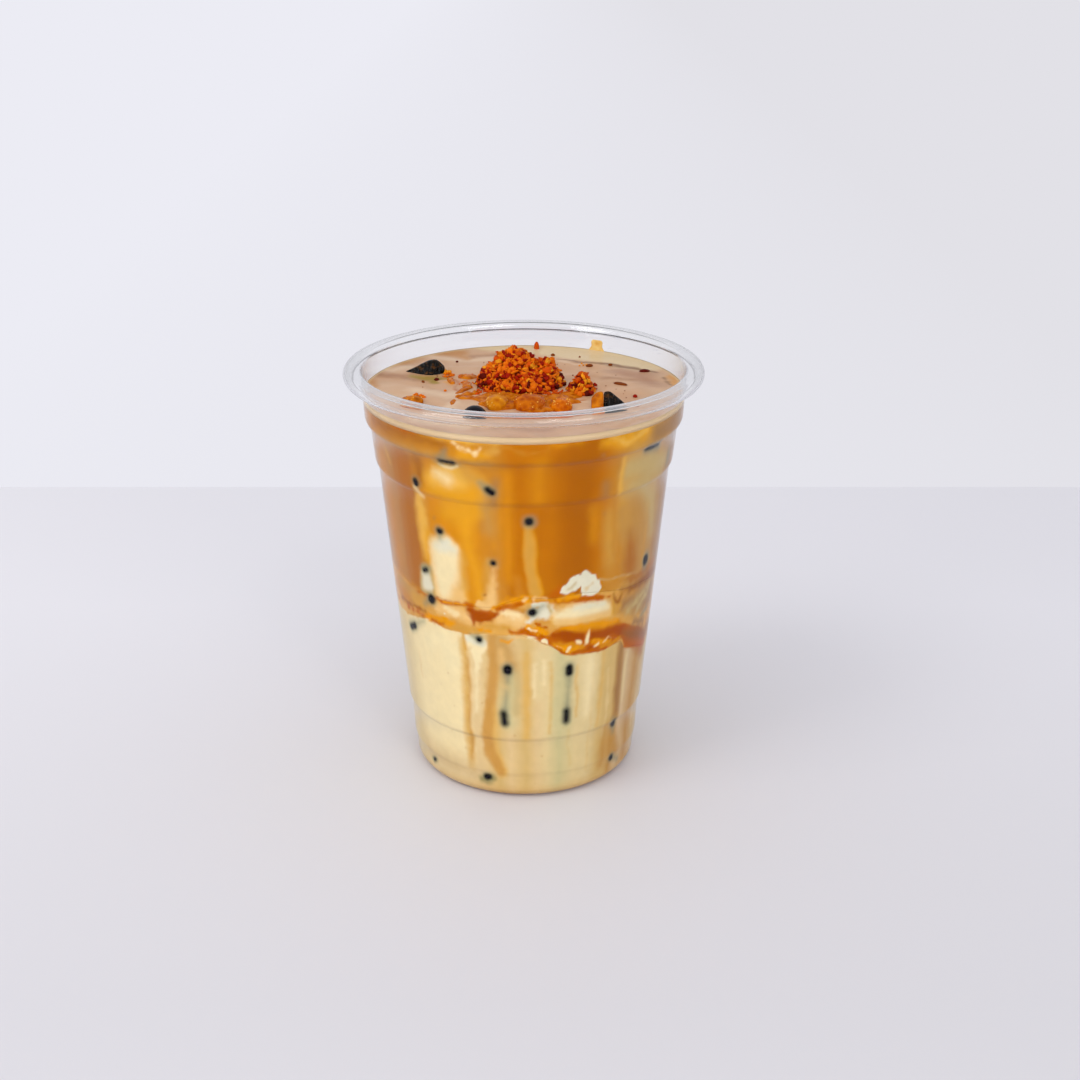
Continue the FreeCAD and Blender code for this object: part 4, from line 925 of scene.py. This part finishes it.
# Colours of the drink's top and of what lies on it.
topTones = {
    "surface": (202, 156, 118), "light": (222, 190, 158), "dusk": (160, 108, 70), "mauve": (168, 118, 88),
    "crescent": (226, 202, 158), "line": (118, 72, 32), "edge": (192, 128, 58), "edgeGold": (214, 146, 46),
    "syrup": (172, 84, 6), "olive": (150, 124, 14),
}
topStrokes = [
    ("crescent", 3, 0.4, [(-12, 42, 2), (4, 40, 5), (16, 36, 6.5), (27, 30, 6), (36, 21, 3.6)]),
    ("light", 3, 0.4, [(-26, 32, 2.4), (-18, 30, 2.4), (-12, 31, 2)]),
    ("edge", 3, 0.4, [(-24, 36, 1.8), (-19, 36, 2.6), (-17, 32, 1)]),
    ("dusk", 2.6, 0.4, [(-15, 34, 0.6), (-8, 36, 0.6)]),
    ("edge", 2.4, 0.5, [(-30, 33, 1), (-36, 26, 2.6), (-38, 21, 1.2)]),
    ("light", 2.2, 0.4, [(-34, 20, 2), (-39, 17, 1.4)]),
    ("dusk", 3, 0.4, [(-41, 13, 2.4), (-34, 12, 2), (-30, 9, 0.8)]),
    ("edge", 2, 0.4, [(-43, 8, 1.2), (-42, 2, 0.8)]),
    ("light", 3, 0.4, [(-30, -2, 2.6), (-22, -6, 2.6), (-17, -3, 2)]),
    ("surface", 2.2, 0.4, [(-36, 6, 0.8), (-30, 4, 1.2), (-26, 8, 0.8)]),
    ("light", 1.2, 0.3, [(-18, -12, 1.2), (-20, -17, 1.6)]),
    ("mauve", 5, 0.4, [(27, 17, 3.6), (33, 12, 4.4), (36, 5, 3)]),
    ("dusk", 2.4, 0.4, [(22, 10, 1.2), (30, 8, 0.8)]),
    ("line", 0.9, 0.3, [(9, 30.4, 0.3), (16, 27, 0.5), (24, 24.6, 1), (31, 21.6, 0.7), (38, 15.6, 0.4)]),
    # painted highlight just in front of the dark curved line
    ("light", 1.2, 0.3, [(10, 28, 0.7), (16, 24.6, 0.5)]),
    ("edgeGold", 1.8, 0.4, [(42, 12, 0.9), (42.6, 5, 1.2)]),
    ("line", 0.8, 0.3, [(40, 11, 0.3), (41, 5, 0.3)]),
    ("light", 1.4, 0.4, [(9, -9, 1), (13, -10.5, 1.6), (17, -13, 1.2)]),
    ("syrup", 0.8, 0.3, [(8, -12.4, 0.3), (12, -13.4, 0.4), (17, -11, 0.3)]),
    ("syrup", 0.8, 0.4, [(-22, 16, 0.5), (-19.4, 8, 0.5), (-18, 1, 0.4), (-16, -6, 0.6)]),
    ("syrup", 1, 0.5, [(-17, 12, 1.4), (-13, 11, 1.4)]),
    ("syrup", 0.9, 0.4, [(-16, -7, 1), (-12, -9, 1.2), (-10, -6, 1)]),
    ("olive", 1.6, 0.3, [(-31, 12.4, 1), (-27, 11, 2), (-22.6, 11, 1.4)]),
    ("olive", 0.9, 0.4, [(-26, 8, 1.4), (-25, 4.6, 0.9)]),
    ("edgeGold", 0.8, 0.3, [(-22, 6, 1.2), (-20.6, 4, 0.8)]),
    ("mauve", 2.4, 0.4, [(20, -22, 0.8), (27, -20, 0.6)]),
    ("dusk", 1.6, 0.4, [(18, -31, 0.5), (24, -28, 0.8), (29, -25, 0.3)]),
    ("mauve", 3, 0.4, [(-6, -34, 1.2), (4, -36, 2), (10, -33, 1)]),
    ("light", 3, 0.4, [(-28, -26, 2.6), (-16, -32, 3)]),
    ("edge", 3, 0.4, [(24, -34, 0.8), (34, -24, 0.8)]),
]
foamSizes = {
    "segments": 480,
    "ring": 0.46,
    "meniscus": 0.5,
    "meniscusReach": 0.9,
    "waves": 0.16,
    "calm": 3,
    "warp": (1.2, 1.2),
    "edge": (0.9, 0.8, 0.7),  # where the pale edge starts, its softness and its strength
}


def paintTop(x, y):
    canvas = Canvas(x, y, 1, None, foamSizes["warp"])
    cloud = 0.15 + 0.35 * grain(x + 60, y + 60, (11, 9), 21) + 0.15 * grain(x + 60, y + 60, (4, 3), 22)
    canvas.colour = np.tile(toLinear(topTones["surface"]), (len(x), 1))
    canvas.blend(np.clip(cloud, -0.3, 0.7) * 0.9, topTones["light"])
    swirl = grain(x + 0.6 * y + 80, y - 0.3 * x + 80, (2.6, 7), 23)
    canvas.colour *= (1 - 0.1 * np.clip(swirl, 0, 1))[:, None]
    canvas.strokes(topStrokes, 0.85, 1.7, topTones)
    start, soft, strength = foamSizes["edge"]
    reach = np.hypot(x, y) - drinkRadius(level) + start
    canvas.blend(np.clip(reach / soft, 0, 1) * strength, topTones["crescent"])
    return canvas.colour


def foamFinish():
    finish = Finish("creamyTop")
    froth = finish.noise(900, 5, 0.6)
    shade = finish.mix(finish.between(froth, 0.0, 0.12), finish.painted("drinkTone"), rgba((226, 200, 172)))
    return finish.done(finish.surface(Base_Color=shade, Roughness=finish.between(froth, 0.22, 0.42),
                                      Specular_IOR_Level=0.08, Normal=finish.bump(froth, 0.0001, 0.5)))


def makeFoam():
    sizes = foamSizes
    outer = float(drinkRadius(level))
    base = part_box("milk_foam")[0].z / mm
    rings = round(outer / sizes["ring"])
    path = [(0, base), (outer * 0.5, base), (float(drinkRadius(base)), base)]
    path += [(outer * k / rings, level) for k in range(rings, -1, -1)]
    bm = wrapped([(radius * mm, height * mm) for radius, height in path], sizes["segments"])
    foam = asPiece(bm, "creamyTop", foamFinish(), ["milk_foam"])
    places = vertexPlaces(foam.data) / mm
    x, y, z = places.T
    inward = outer - np.hypot(x, y)
    upper = z > level - 0.01
    waves = twoGrains(x + 70, y + 70, [(9, 7), (3.2, 2.6)], 24, 0.4) * np.clip(inward / sizes["calm"], 0, 1)
    rise = sizes["meniscus"] * np.exp(-inward / sizes["meniscusReach"]) + sizes["waves"] * waves
    tall = z + np.where(upper, rise, 0)
    swell = np.where(upper & (inward < 0.1), drinkRadius(tall) / outer, 1)
    x = x * swell
    y = y * swell
    setPlaces(foam.data, np.stack([x, y, tall], 1) * mm)
    setTones(foam.data, paintTop(x, y))
    print("creamy top made")


crumbTones = {
    "gold": (242, 164, 28), "orange": (232, 122, 8), "deep": (210, 86, 2), "red": (156, 26, 1),
    "dark": (92, 14, 1), "brown": (130, 64, 10),
}


def crumbMesh():
    bm = bmesh.new()
    return bm, bm.verts.layers.float_color.new("crumbTone")


def addCrumb(bm, layer, centre, size, tone, rng, cuts=1, rough=0.28, long=1.2):
    spread = Matrix.Diagonal((size * rng.uniform(0.8, long), size * rng.uniform(0.55, 1.0),
                              size * rng.uniform(0.55, 1.0), 1))
    turn = Matrix.Rotation(rng.uniform(0, math.tau), 4, Vector([rng.uniform(-1, 1) for k in range(3)]))
    made = ball(bm, cuts, Matrix.Translation(centre) @ turn @ spread)
    shade = toLinear(tone) * rng.uniform(0.85, 1.12)
    for vert in made:
        vert.co += (vert.co - Vector(centre)) * rng.uniform(-rough, rough)
        vert[layer] = (*np.clip(shade * rng.uniform(0.9, 1.08), 0, 1), 1)


def crumbFinish(name, gloss=0.4):
    finish = Finish(name)
    tone = finish.painted("crumbTone")
    grains = finish.noise(1500, 4, 0.6)
    dark = finish.mix(1.0, tone, rgba((226, 170, 120)), "MULTIPLY")
    return finish.done(finish.surface(
        Base_Color=finish.mix(finish.between(grains, 0.0, 0.7), tone, dark),
        Roughness=finish.between(grains, gloss, gloss + 0.25), Specular_IOR_Level=0.06,
        Coat_Weight=0.02, Coat_Roughness=0.1, Normal=finish.bump(grains, 0.0002, 0.6)))


# The crumble: hills are (x, y, height, spread x, spread y), in shares of the node's box. A tone's
# shares of the crumbs are at the foot and at the peak; the crumble's darker tones at its foot are painted
# shade.
heapSizes = {
    "name": "crumble",
    "node": "crumble_heap",
    "slot": "golden_crumble",
    "seed": 7,
    "hills": [(-0.14, 0.12, 0.88, 0.48, 0.5), (0.6, 0.08, 0.68, 0.28, 0.45), (-0.7, 0.0, 0.52, 0.28, 0.5),
              (0.1, -0.45, 0.36, 0.5, 0.3)],
    "cell": 0.45,
    "skin": 0.8,
    "crumbs": 1300,
    "nuggets": 210,
    "core": (120, 26, 2),
    # darker tones more often at the foot: painted shade low on the heap
    "shares": {"gold": (0.05, 0.20), "orange": (0.20, 0.62), "deep": (0.28, 0.26), "red": (0.36, 0.10),
               "dark": (0.16, -0.08)},
}
clusterSizes = {
    "name": "darkCrumbs",
    "node": "crumb_cluster",
    "slot": "dark_crumble",
    "seed": 8,
    "hills": [(0.0, 0.05, 0.95, 0.5, 0.5), (0.45, -0.4, 0.45, 0.35, 0.4), (-0.4, -0.5, 0.4, 0.3, 0.3)],
    "cell": 0.4,
    "skin": 0.6,
    "crumbs": 110,
    "nuggets": 30,
    "core": (120, 26, 4),
    "shares": {"gold": (0.26, 0.06), "orange": (0.26, 0.16), "deep": (0.22, 0.30), "red": (0.20, 0.40),
               "dark": (0.06, 0.08)},
}


class Heap:
    def __init__(self, sizes):
        low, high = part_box(sizes["node"])
        self.centre = (low + high) / 2 / mm
        self.half = (high - low) / 2 / mm
        self.tall = high.z / mm - level
        self.sizes = sizes

    def height(self, x, y):
        u = (x - self.centre.x) / self.half.x
        v = (y - self.centre.y) / self.half.y
        total = 0
        for hx, hy, tall, sx, sy in self.sizes["hills"]:
            total = max(total, tall * math.exp(-((u - hx) / sx) ** 2 / 2 - ((v - hy) / sy) ** 2 / 2))
        edge = max(0.0, 1 - (u * u + v * v) ** 3)
        return total * edge * self.tall

    def core(self, bm, layer, rng):
        cells = int(self.half.x * 2 / self.sizes["cell"])
        tone = rgba(self.sizes["core"])
        points = bmesh.ops.create_grid(bm, x_segments=cells, y_segments=cells, size=1)["verts"]
        for vert in points:
            x = self.centre.x + vert.co.x * self.half.x
            y = self.centre.y + vert.co.y * self.half.y
            lift = max(self.height(x, y) - self.sizes["skin"], -0.6)
            lift += rng.uniform(-0.25, 0.25) if lift > 0 else 0
            vert.co = Vector((x, y, level + lift)) * mm
            vert[layer] = tone
        sunk = [v for v in points if v.co.z < (level - 0.5) * mm]
        bmesh.ops.delete(bm, geom=sunk, context="VERTS")
        made = bmesh.ops.extrude_face_region(bm, geom=list(bm.faces))
        for vert in made["geom"]:
            if isinstance(vert, bmesh.types.BMVert):
                vert.co.z = (level - 0.7) * mm
                vert[layer] = tone

    def scatter(self, bm, layer, rng):
        shares = self.sizes["shares"]
        for k in range(self.sizes["crumbs"]):
            while True:
                x = self.centre.x + rng.uniform(-1, 1) * self.half.x
                y = self.centre.y + rng.uniform(-1, 1) * self.half.y
                tall = self.height(x, y)
                if tall > 0.35 + rng.uniform(0, 0.5):
                    break
            nugget = k < self.sizes["nuggets"]
            size = rng.uniform(0.7, 1.2) if nugget else rng.uniform(0.36, 0.82)
            top = min(tall, self.tall - size) - rng.uniform(0, 0.7)
            share = tall / self.tall
            weights = [max(foot + (peak - foot) * share, 0) for foot, peak in shares.values()]
            tone = crumbTones[rng.choices(list(shares), weights)[0]]
            place = Vector((x, y, level + max(top, 0.1))) * mm
            addCrumb(bm, layer, place, size, tone, rng, 2 if nugget else 1, 0.3, 1.6 if nugget else 2.6)


def makeHeap(sizes):
    rng = random.Random(sizes["seed"])
    heap = Heap(sizes)
    bm, layer = crumbMesh()
    heap.core(bm, layer, rng)
    heap.scatter(bm, layer, rng)
    name = sizes["name"]
    asPiece(bm, name, crumbFinish(name + "Look"), [sizes["node"]])
    print(name, "made")


# Loose crumbs on the drink: x, y, how far they spread, how many, size, tone
looseSizes = [
    (-16, 12, 2.6, 26, 0.4, "deep"), (-15, 4, 3, 22, 0.35, "orange"), (-12, -3, 2.4, 22, 0.4, "deep"),
    (-22.6, 16, 1.8, 34, 0.5, "gold"), (-21.5, 13, 1.8, 18, 0.4, "orange"), (-26, 17, 1.6, 16, 0.4, "gold"),
    (0, -7, 5, 40, 0.5, "red"), (9, -5, 3.4, 34, 0.5, "deep"), (18.6, 4, 1.6, 14, 0.5, "red"),
    (19.6, -14.6, 1.4, 14, 0.5, "gold"), (24.4, -13, 1.6, 8, 0.4, "orange"), (17, 24, 1.8, 7, 0.4, "gold"),
    (-29, -9, 3, 16, 0.5, "orange"), (0, 16, 7, 26, 0.35, "deep"), (0, 0, 30, 60, 0.22, "brown"),
    (9, -15, 3, 24, 0.5, "orange"), (-7, -12, 3, 14, 0.4, "gold"),
]
# Single crumbs: x, y, half sizes, turn, tone
singleCrumbs = [
    (34, 17, 1.5, 1, 0.5, 10, "dark"), (26.6, 4.4, 2.1, 1, 0.4, -35, "brown"),
    (30, -7.5, 0.6, 0.6, 0.5, 0, "red"), (18.6, 22.6, 1, 0.8, 0.5, 30, "brown"),
    (24.6, 23.4, 0.6, 0.5, 0.4, 0, "brown"), (8.2, 34, 0.6, 0.9, 0.4, 0, "brown"),
    (16, 32, 0.3, 0.4, 0.3, 0, "brown"), (3.4, 41.6, 0.75, 0.75, 1.5, 0, "deep"),
    (-19.6, 27, 0.4, 0.5, 0.3, 0, "dark"), (-28, 6.6, 0.4, 0.9, 0.3, 20, "brown"),
    (-21.4, -2, 0.4, 0.6, 0.3, 0, "orange"), (-24.4, 8.8, 0.7, 0.9, 0.4, 0, "dark"),
]


def makeLooseCrumbs():
    rng = random.Random(12)
    bm, layer = crumbMesh()
    for x, y, spread, count, size, tone in looseSizes:
        for k in range(count):
            turn = rng.uniform(0, math.tau)
            away = spread * math.sqrt(rng.random())
            grainSize = size * rng.uniform(0.5, 1.4)
            place = Vector((x + away * math.cos(turn), y + away * math.sin(turn), level + grainSize * 0.3))
            addCrumb(bm, layer, place * mm, grainSize, crumbTones[tone], rng)
    for x, y, wide, deep, tall, turn, tone in singleCrumbs:
        spot = laid(x, y, level + tall * 0.35, turn)
        for vert in ball(bm, 3, spot @ Matrix.Diagonal((wide, deep, tall, 1))):
            vert.co += (vert.co - spot.translation) * rng.uniform(-0.1, 0.1)
            vert[layer] = rgba(crumbTones[tone])
    asPiece(bm, "looseCrumbs", crumbFinish("looseCrumbsLook"))
    print("loose crumbs made")


amberSizes = {
    "amber_lump_left": {"pale": (212, 132, 14), "deep": (172, 84, 2), "swell": 0.14, "glintBeads": 16},
    "amber_lump_middle": {"pale": (204, 108, 6), "deep": (150, 52, 1), "swell": 0.22, "glintBeads": 22},
    "amber_lump_right": {"pale": (226, 124, 8), "deep": (170, 62, 1), "swell": 0.26, "glintBeads": 26},
    "amber_cluster": {"pale": (206, 118, 14), "deep": (134, 58, 4), "swell": 0.26, "glintBeads": 18},
}


def jellyFinish(name, pale, deep):
    finish = Finish(name)
    sockets = {"Vector": finish.place(), "Scale": 620.0}
    cells = finish.add("TexVoronoi", {"feature": "F1"}, sockets, "Distance")
    cloud = finish.ramp(finish.noise(420, 3) * 0.6 + cells * 0.5, 0.25, 0.75)
    tone = finish.mix(cloud, rgba(deep), rgba(pale))
    return finish.done(finish.surface(
        Base_Color=tone, Roughness=0.2, IOR=1.38, Specular_IOR_Level=0.06, Coat_Weight=0.02,
        Coat_Roughness=0.04, Normal=finish.bump(cells, 0.0003, 0.5)))


def makeAmber():
    shine, layer = crumbMesh()
    rng = random.Random(5)
    for node, sizes in amberSizes.items():
        low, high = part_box(node)
        centre = (low + high) / 2
        half = (high - low) / 2
        bm = bmesh.new()
        ball(bm, 5, Matrix(), 1)
        bumps = [(Vector([rng.gauss(0, 1) for k in range(3)]).normalized(), rng.uniform(0.25, 0.55),
                  rng.uniform(-0.7, 1)) for k in range(22)]
        for vert in bm.verts:
            out = vert.co.normalized()
            lift = sum(tall * math.exp(-((out - spot).length / wide) ** 2) for spot, wide, tall in bumps)
            scale = min(0.9 + sizes["swell"] * 0.6 * lift, 1.0)
            vert.co = Vector((out.x * half.x, out.y * half.y, out.z * half.z)) * scale + centre
        upper = [vert.co.copy() for vert in bm.verts if vert.co.z > centre.z]
        # pale beads on the upper sides: small painted glints on the jelly
        for k in range(sizes["glintBeads"]):
            addCrumb(shine, layer, rng.choice(upper), rng.uniform(0.14, 0.3), (250, 196, 84), rng, 1, 0.1)
        name = node.replace("_", " ").title().replace(" ", "")
        asPiece(bm, name, jellyFinish(name + "Look", sizes["pale"], sizes["deep"]), [node])
    asPiece(shine, "jellyGlintBeads", crumbFinish("jellyGlintBeadsLook", 0.15))
    print("amber jelly made")


# Thin syrup round the lumps: x, y, half sizes, turn
syrupPools = [
    (-1, -12.6, 10.8, 6.4, 1.2, 4), (8.5, -12.5, 6, 5.6, 1.1, -10), (-7, -7.6, 6.4, 3.4, 1, 20),
    (-14.6, -5.2, 4.6, 1.1, 0.7, 38), (-16.6, -1.4, 3.6, 0.8, 0.5, 62), (-18.8, -12.6, 0.7, 2.6, 0.45, -8),
    (-20.2, 7.4, 1, 3, 0.5, 12), (3.4, -19.2, 5.2, 2.2, 0.9, 0), (12.4, -6.2, 3, 2, 0.7, -30),
    (-16, 11.4, 3, 2.4, 0.55, 12), (-15.8, 4, 1.4, 3.6, 0.5, 8), (-15.4, -8.4, 2.4, 2, 0.5, 0),
]


def makeSyrup():
    bm = bmesh.new()
    for x, y, wide, deep, tall, turn in syrupPools:
        spot = laid(x, y, level, turn)
        made = ball(bm, 5, spot @ Matrix.Diagonal((wide, deep, tall, 1)))
        places = np.array([vert.co for vert in made]) / mm
        ragged = grain(places[:, 0] + 90, places[:, 1] + 90, (2.2, 1.8), 41)
        lumps = grain(places[:, 0] + 90, places[:, 1] + 90, (1.1, 1.0), 42)
        for vert, edge, lump in zip(made, ragged, lumps):
            away = vert.co - spot.translation
            away.x *= 1 + 0.24 * edge
            away.y *= 1 + 0.24 * edge
            away.z *= 1 + 0.5 * lump
            vert.co = spot.translation + away
    asPiece(bm, "syrupPool", jellyFinish("syrupLook", (206, 118, 12), (156, 62, 2)))
    print("syrup made")


smearSizes = {"around": 151.0, "halfWidth": 2.3, "foot": -0.4, "top": 3.5, "thickness": 0.22}


def makeSmear():  # a lick of syrup left on the wall behind
    sizes = smearSizes
    bm = bmesh.new()
    bmesh.ops.create_grid(bm, x_segments=16, y_segments=16, size=1)
    for vert in bm.verts:
        part = (vert.co.y + 1) / 2
        height = level + sizes["foot"] + part * (sizes["top"] - sizes["foot"])
        narrow = 1 - 0.45 * part ** 2 + 0.12 * math.sin(9 * part)
        inside = float(drinkRadius(height)) - intoWall
        angle = math.radians(sizes["around"]) + vert.co.x * narrow * sizes["halfWidth"] / inside
        vert.co = Vector((inside * math.sin(angle), -inside * math.cos(angle), height)) * mm
    smear = asPiece(bm, "wallSmear", jellyFinish("smearLook", (240, 206, 132), (222, 160, 60)))
    thicken(smear, sizes["thickness"], 0)
    print("wall smear made")


# Bent slices: heights and widths run from left to right, in shares of the node's box.
sliceSizes = {
    "black_jelly_left": {"name": "blackJellyLeft", "slot": "black_jelly", "cuts": 9,
                         "heights": [0.42, 0.56, 0.76, 0.94, 1.0, 0.66],
                         "widths": [0.12, 0.6, 1.0, 1.0, 0.9, 0.5]},
    "black_jelly_right": {"name": "blackJellyRight", "slot": "black_jelly", "cuts": 9,
                          "heights": [0.95, 1.0, 0.8, 0.6, 0.4], "widths": [0.7, 1.0, 1.0, 0.9, 0.6]},
    "amber_block": {"name": "amberBlock", "slot": "amber_jelly", "cuts": 7,
                    "heights": [0.7, 0.92, 1.0, 0.98], "widths": [0.7, 1.0, 1.0, 0.8]},
}


def blackFinish():
    finish = Finish("blackJellyLook")
    waves = {"Vector": finish.place(), "Scale": 260.0, "Distortion": 3.0, "Detail": 2.0}
    ridges = finish.add("TexWave", {"wave_type": "BANDS"}, waves)
    cloud = finish.noise(300, 3)
    # the brown streaks are the jelly's own brown tint and also painted brown highlights
    streak = finish.ramp(finish.noise(700, 3), 0.52, 0.7)
    tone = finish.mix(streak * 0.7, finish.mix(cloud, rgba((3, 2, 2)), rgba((16, 12, 6))), rgba((96, 58, 14)))
    return finish.done(finish.surface(Base_Color=tone, Roughness=finish.between(cloud, 0.12, 0.3),
                                      Specular_IOR_Level=0.12, Normal=finish.bump(ridges, 0.0003, 0.6)))


def bentSlice(node, sizes):
    low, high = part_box(node)
    centre = (low + high) / 2
    half = (high - low) / 2
    bm = bmesh.new()
    bmesh.ops.create_cube(bm, size=2)
    bmesh.ops.subdivide_edges(bm, edges=bm.edges, cuts=sizes["cuts"], use_grid_fill=True)
    for vert in bm.verts:
        u, v, w = vert.co
        tall, wide = [float(np.interp(u, np.linspace(-1, 1, len(sizes[key])), sizes[key]))
                      for key in ("heights", "widths")]
        roof = 1 - 0.35 * v * v
        z = -1 + (w + 1) * tall * (roof if w > 0 else 1)
        vert.co = Vector((centre.x + u * half.x, centre.y + v * half.y * wide * (1 - 0.3 * max(w, 0)),
                          centre.z + z * half.z))
    for k in range(2):
        bmesh.ops.smooth_vert(bm, verts=bm.verts, factor=0.5, use_axis_x=True, use_axis_y=True,
                              use_axis_z=True)
    return bm


def makeSlices():
    amber = jellyFinish("amberBlockLook", (212, 124, 16), (150, 60, 4))
    looks = {"black_jelly": blackFinish(), "amber_jelly": amber}
    for node, sizes in sliceSizes.items():
        asPiece(bentSlice(node, sizes), sizes["name"], looks[sizes["slot"]], [node])
    print("black jelly made")


def pearlFinish():
    finish = Finish("pearlLook")
    tone = finish.mix(finish.noise(260, 3), rgba((5, 4, 10)), rgba((20, 14, 24)))
    return finish.done(finish.surface(Base_Color=tone, Roughness=0.14, Specular_IOR_Level=0.1,
                                      Coat_Weight=0.03, Coat_Roughness=0.05))


def makePearls():
    material = pearlFinish()
    low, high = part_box("pearl")
    radius = (high.x - low.x) / 2
    bm = bmesh.new()
    ball(bm, 5, Matrix.Translation((low + high) / 2) @ Matrix.Diagonal((1, 0.98, 0.97, 1)), radius)
    asPiece(bm, "topPearl", material, ["pearl"])
    bm = bmesh.new()
    for around, height, wide, tall, tilt in pearlSpots:
        stretch = min(max(tall / wide, 0.7), 1.5)
        showing = (0.35 if tall > 1.5 * wide else 0.6) * min(wide, tall, 1.2)
        proud = showing ** 2 / (2 * radius / mm)
        away = float(drinkRadius(height)) - radius / mm + proud
        turn = Matrix.Rotation(math.radians(around), 4, "Z")
        spot = turn @ laid(0, -away, height) @ Matrix.Rotation(math.radians(-tilt), 4, "Y")
        ball(bm, 4, spot @ Matrix.Diagonal((1 / stretch, 1, stretch, 1)), radius)
    asPiece(bm, "sunkPearls", material)
    print("pearls made")


# The room: a pale table that gives way to a bright wall. Tones are at the left and at the right.
# Darker towards the right and lighter on the far table: painted light falloff on the table and wall.
roomSizes = {"wallLine": 0.222, "half": 8.0, "across": (-0.3, 0.3), "deep": (-0.12, 0.1)}
roomTones = {
    "near": ((224, 222, 227), (217, 215, 219)),
    "far": ((237, 235, 240), (230, 228, 233)),
    "wall": ((236, 236, 244), (226, 225, 231)),
}
lamps = {
    "key": {"place": (-0.75, -0.45, 1.05), "size": 0.5, "power": 2.6, "colour": (1.0, 0.99, 0.97)},
    "front": {"place": (0.55, -1.15, 0.38), "size": 0.8, "power": 4.0, "colour": (1.0, 0.995, 0.99)},
    "glint": {"place": (0.30, -0.75, 0.80), "size": 0.14, "power": 0.45, "colour": (1.0, 1.0, 1.0)},
    "side": {"place": (-0.9, -0.8, 0.35), "size": 0.6, "power": 2.2, "colour": (1.0, 0.995, 0.99)},
}
lampAim = (0, 0, 0.06)
sky = {"Color": (0.95, 0.96, 1.0, 1), "Strength": 0.80}
cameraSizes = {"place": (0.0044, -0.4181, 0.2352), "tilt": 22.08, "sensor": 36, "lens": 52.95, "clip": 0.01}


def makeFloor():
    finish = Finish("paleTable")
    # painted light: the tones fall from left to right and the far table is lighter
    side = finish.ramp(finish.along(0), *roomSizes["across"])
    near, far, wall = [finish.mix(side, rgba(left), rgba(right)) for left, right in roomTones.values()]
    table = finish.mix(finish.ramp(finish.along(1), *roomSizes["deep"]), near, far)
    tableShader = finish.surface(Base_Color=table, Roughness=0.5, Specular_IOR_Level=0.12)
    wallShader = finish.add("Emission", None, {"Color": wall, "Strength": 1.0})
    rays = [finish.add("LightPath", output=f"Is {kind} Ray") for kind in ("Camera", "Glossy", "Transmission")]
    settings = {"operation": "ADD", "use_clamp": True}
    seen = finish.add("Math", settings, {0: rays[0] + rays[1], 1: rays[2]}, "Value")
    behind = finish.along(1) > roomSizes["wallLine"]
    bm = bmesh.new()
    bmesh.ops.create_grid(bm, x_segments=8, y_segments=8, size=roomSizes["half"])
    asObject(bm, "table", finish.done(finish.over(seen * behind, tableShader, wallShader)))


def makeLamps():
    for name, lamp in lamps.items():
        light = bpy.data.lights.new(name, "AREA")
        light.shape = "SQUARE"
        light.size = lamp["size"]
        light.energy = lamp["power"]
        light.color = lamp["colour"]
        holder = linked(name, light)
        holder.location = lamp["place"]
        aim = Vector(lampAim) - Vector(lamp["place"])
        holder.rotation_euler = aim.to_track_quat("-Z", "Y").to_euler()
    world = bpy.data.worlds.new("softRoom")
    world.use_nodes = True
    for key, value in sky.items():
        world.node_tree.nodes["Background"].inputs[key].default_value = value
    bpy.context.scene.world = world


def makeCamera():
    sizes = cameraSizes
    camera = bpy.data.cameras.new("camera")
    camera.sensor_width = sizes["sensor"]
    camera.lens = sizes["lens"]
    camera.clip_start = sizes["clip"]
    holder = linked("camera", camera)
    holder.location = sizes["place"]
    holder.rotation_euler = (math.radians(90 - sizes["tilt"]), 0, 0)
    bpy.context.scene.camera = holder


bpy.context.scene.view_settings.view_transform = "Standard"
makeFloor()
makeLamps()
makeCamera()
makeCup()
makeDrink()
makeFoam()
makeHeap(heapSizes)
makeHeap(clusterSizes)
makeLooseCrumbs()
makeAmber()
makeSyrup()
makeSmear()
makeSlices()
makePearls()
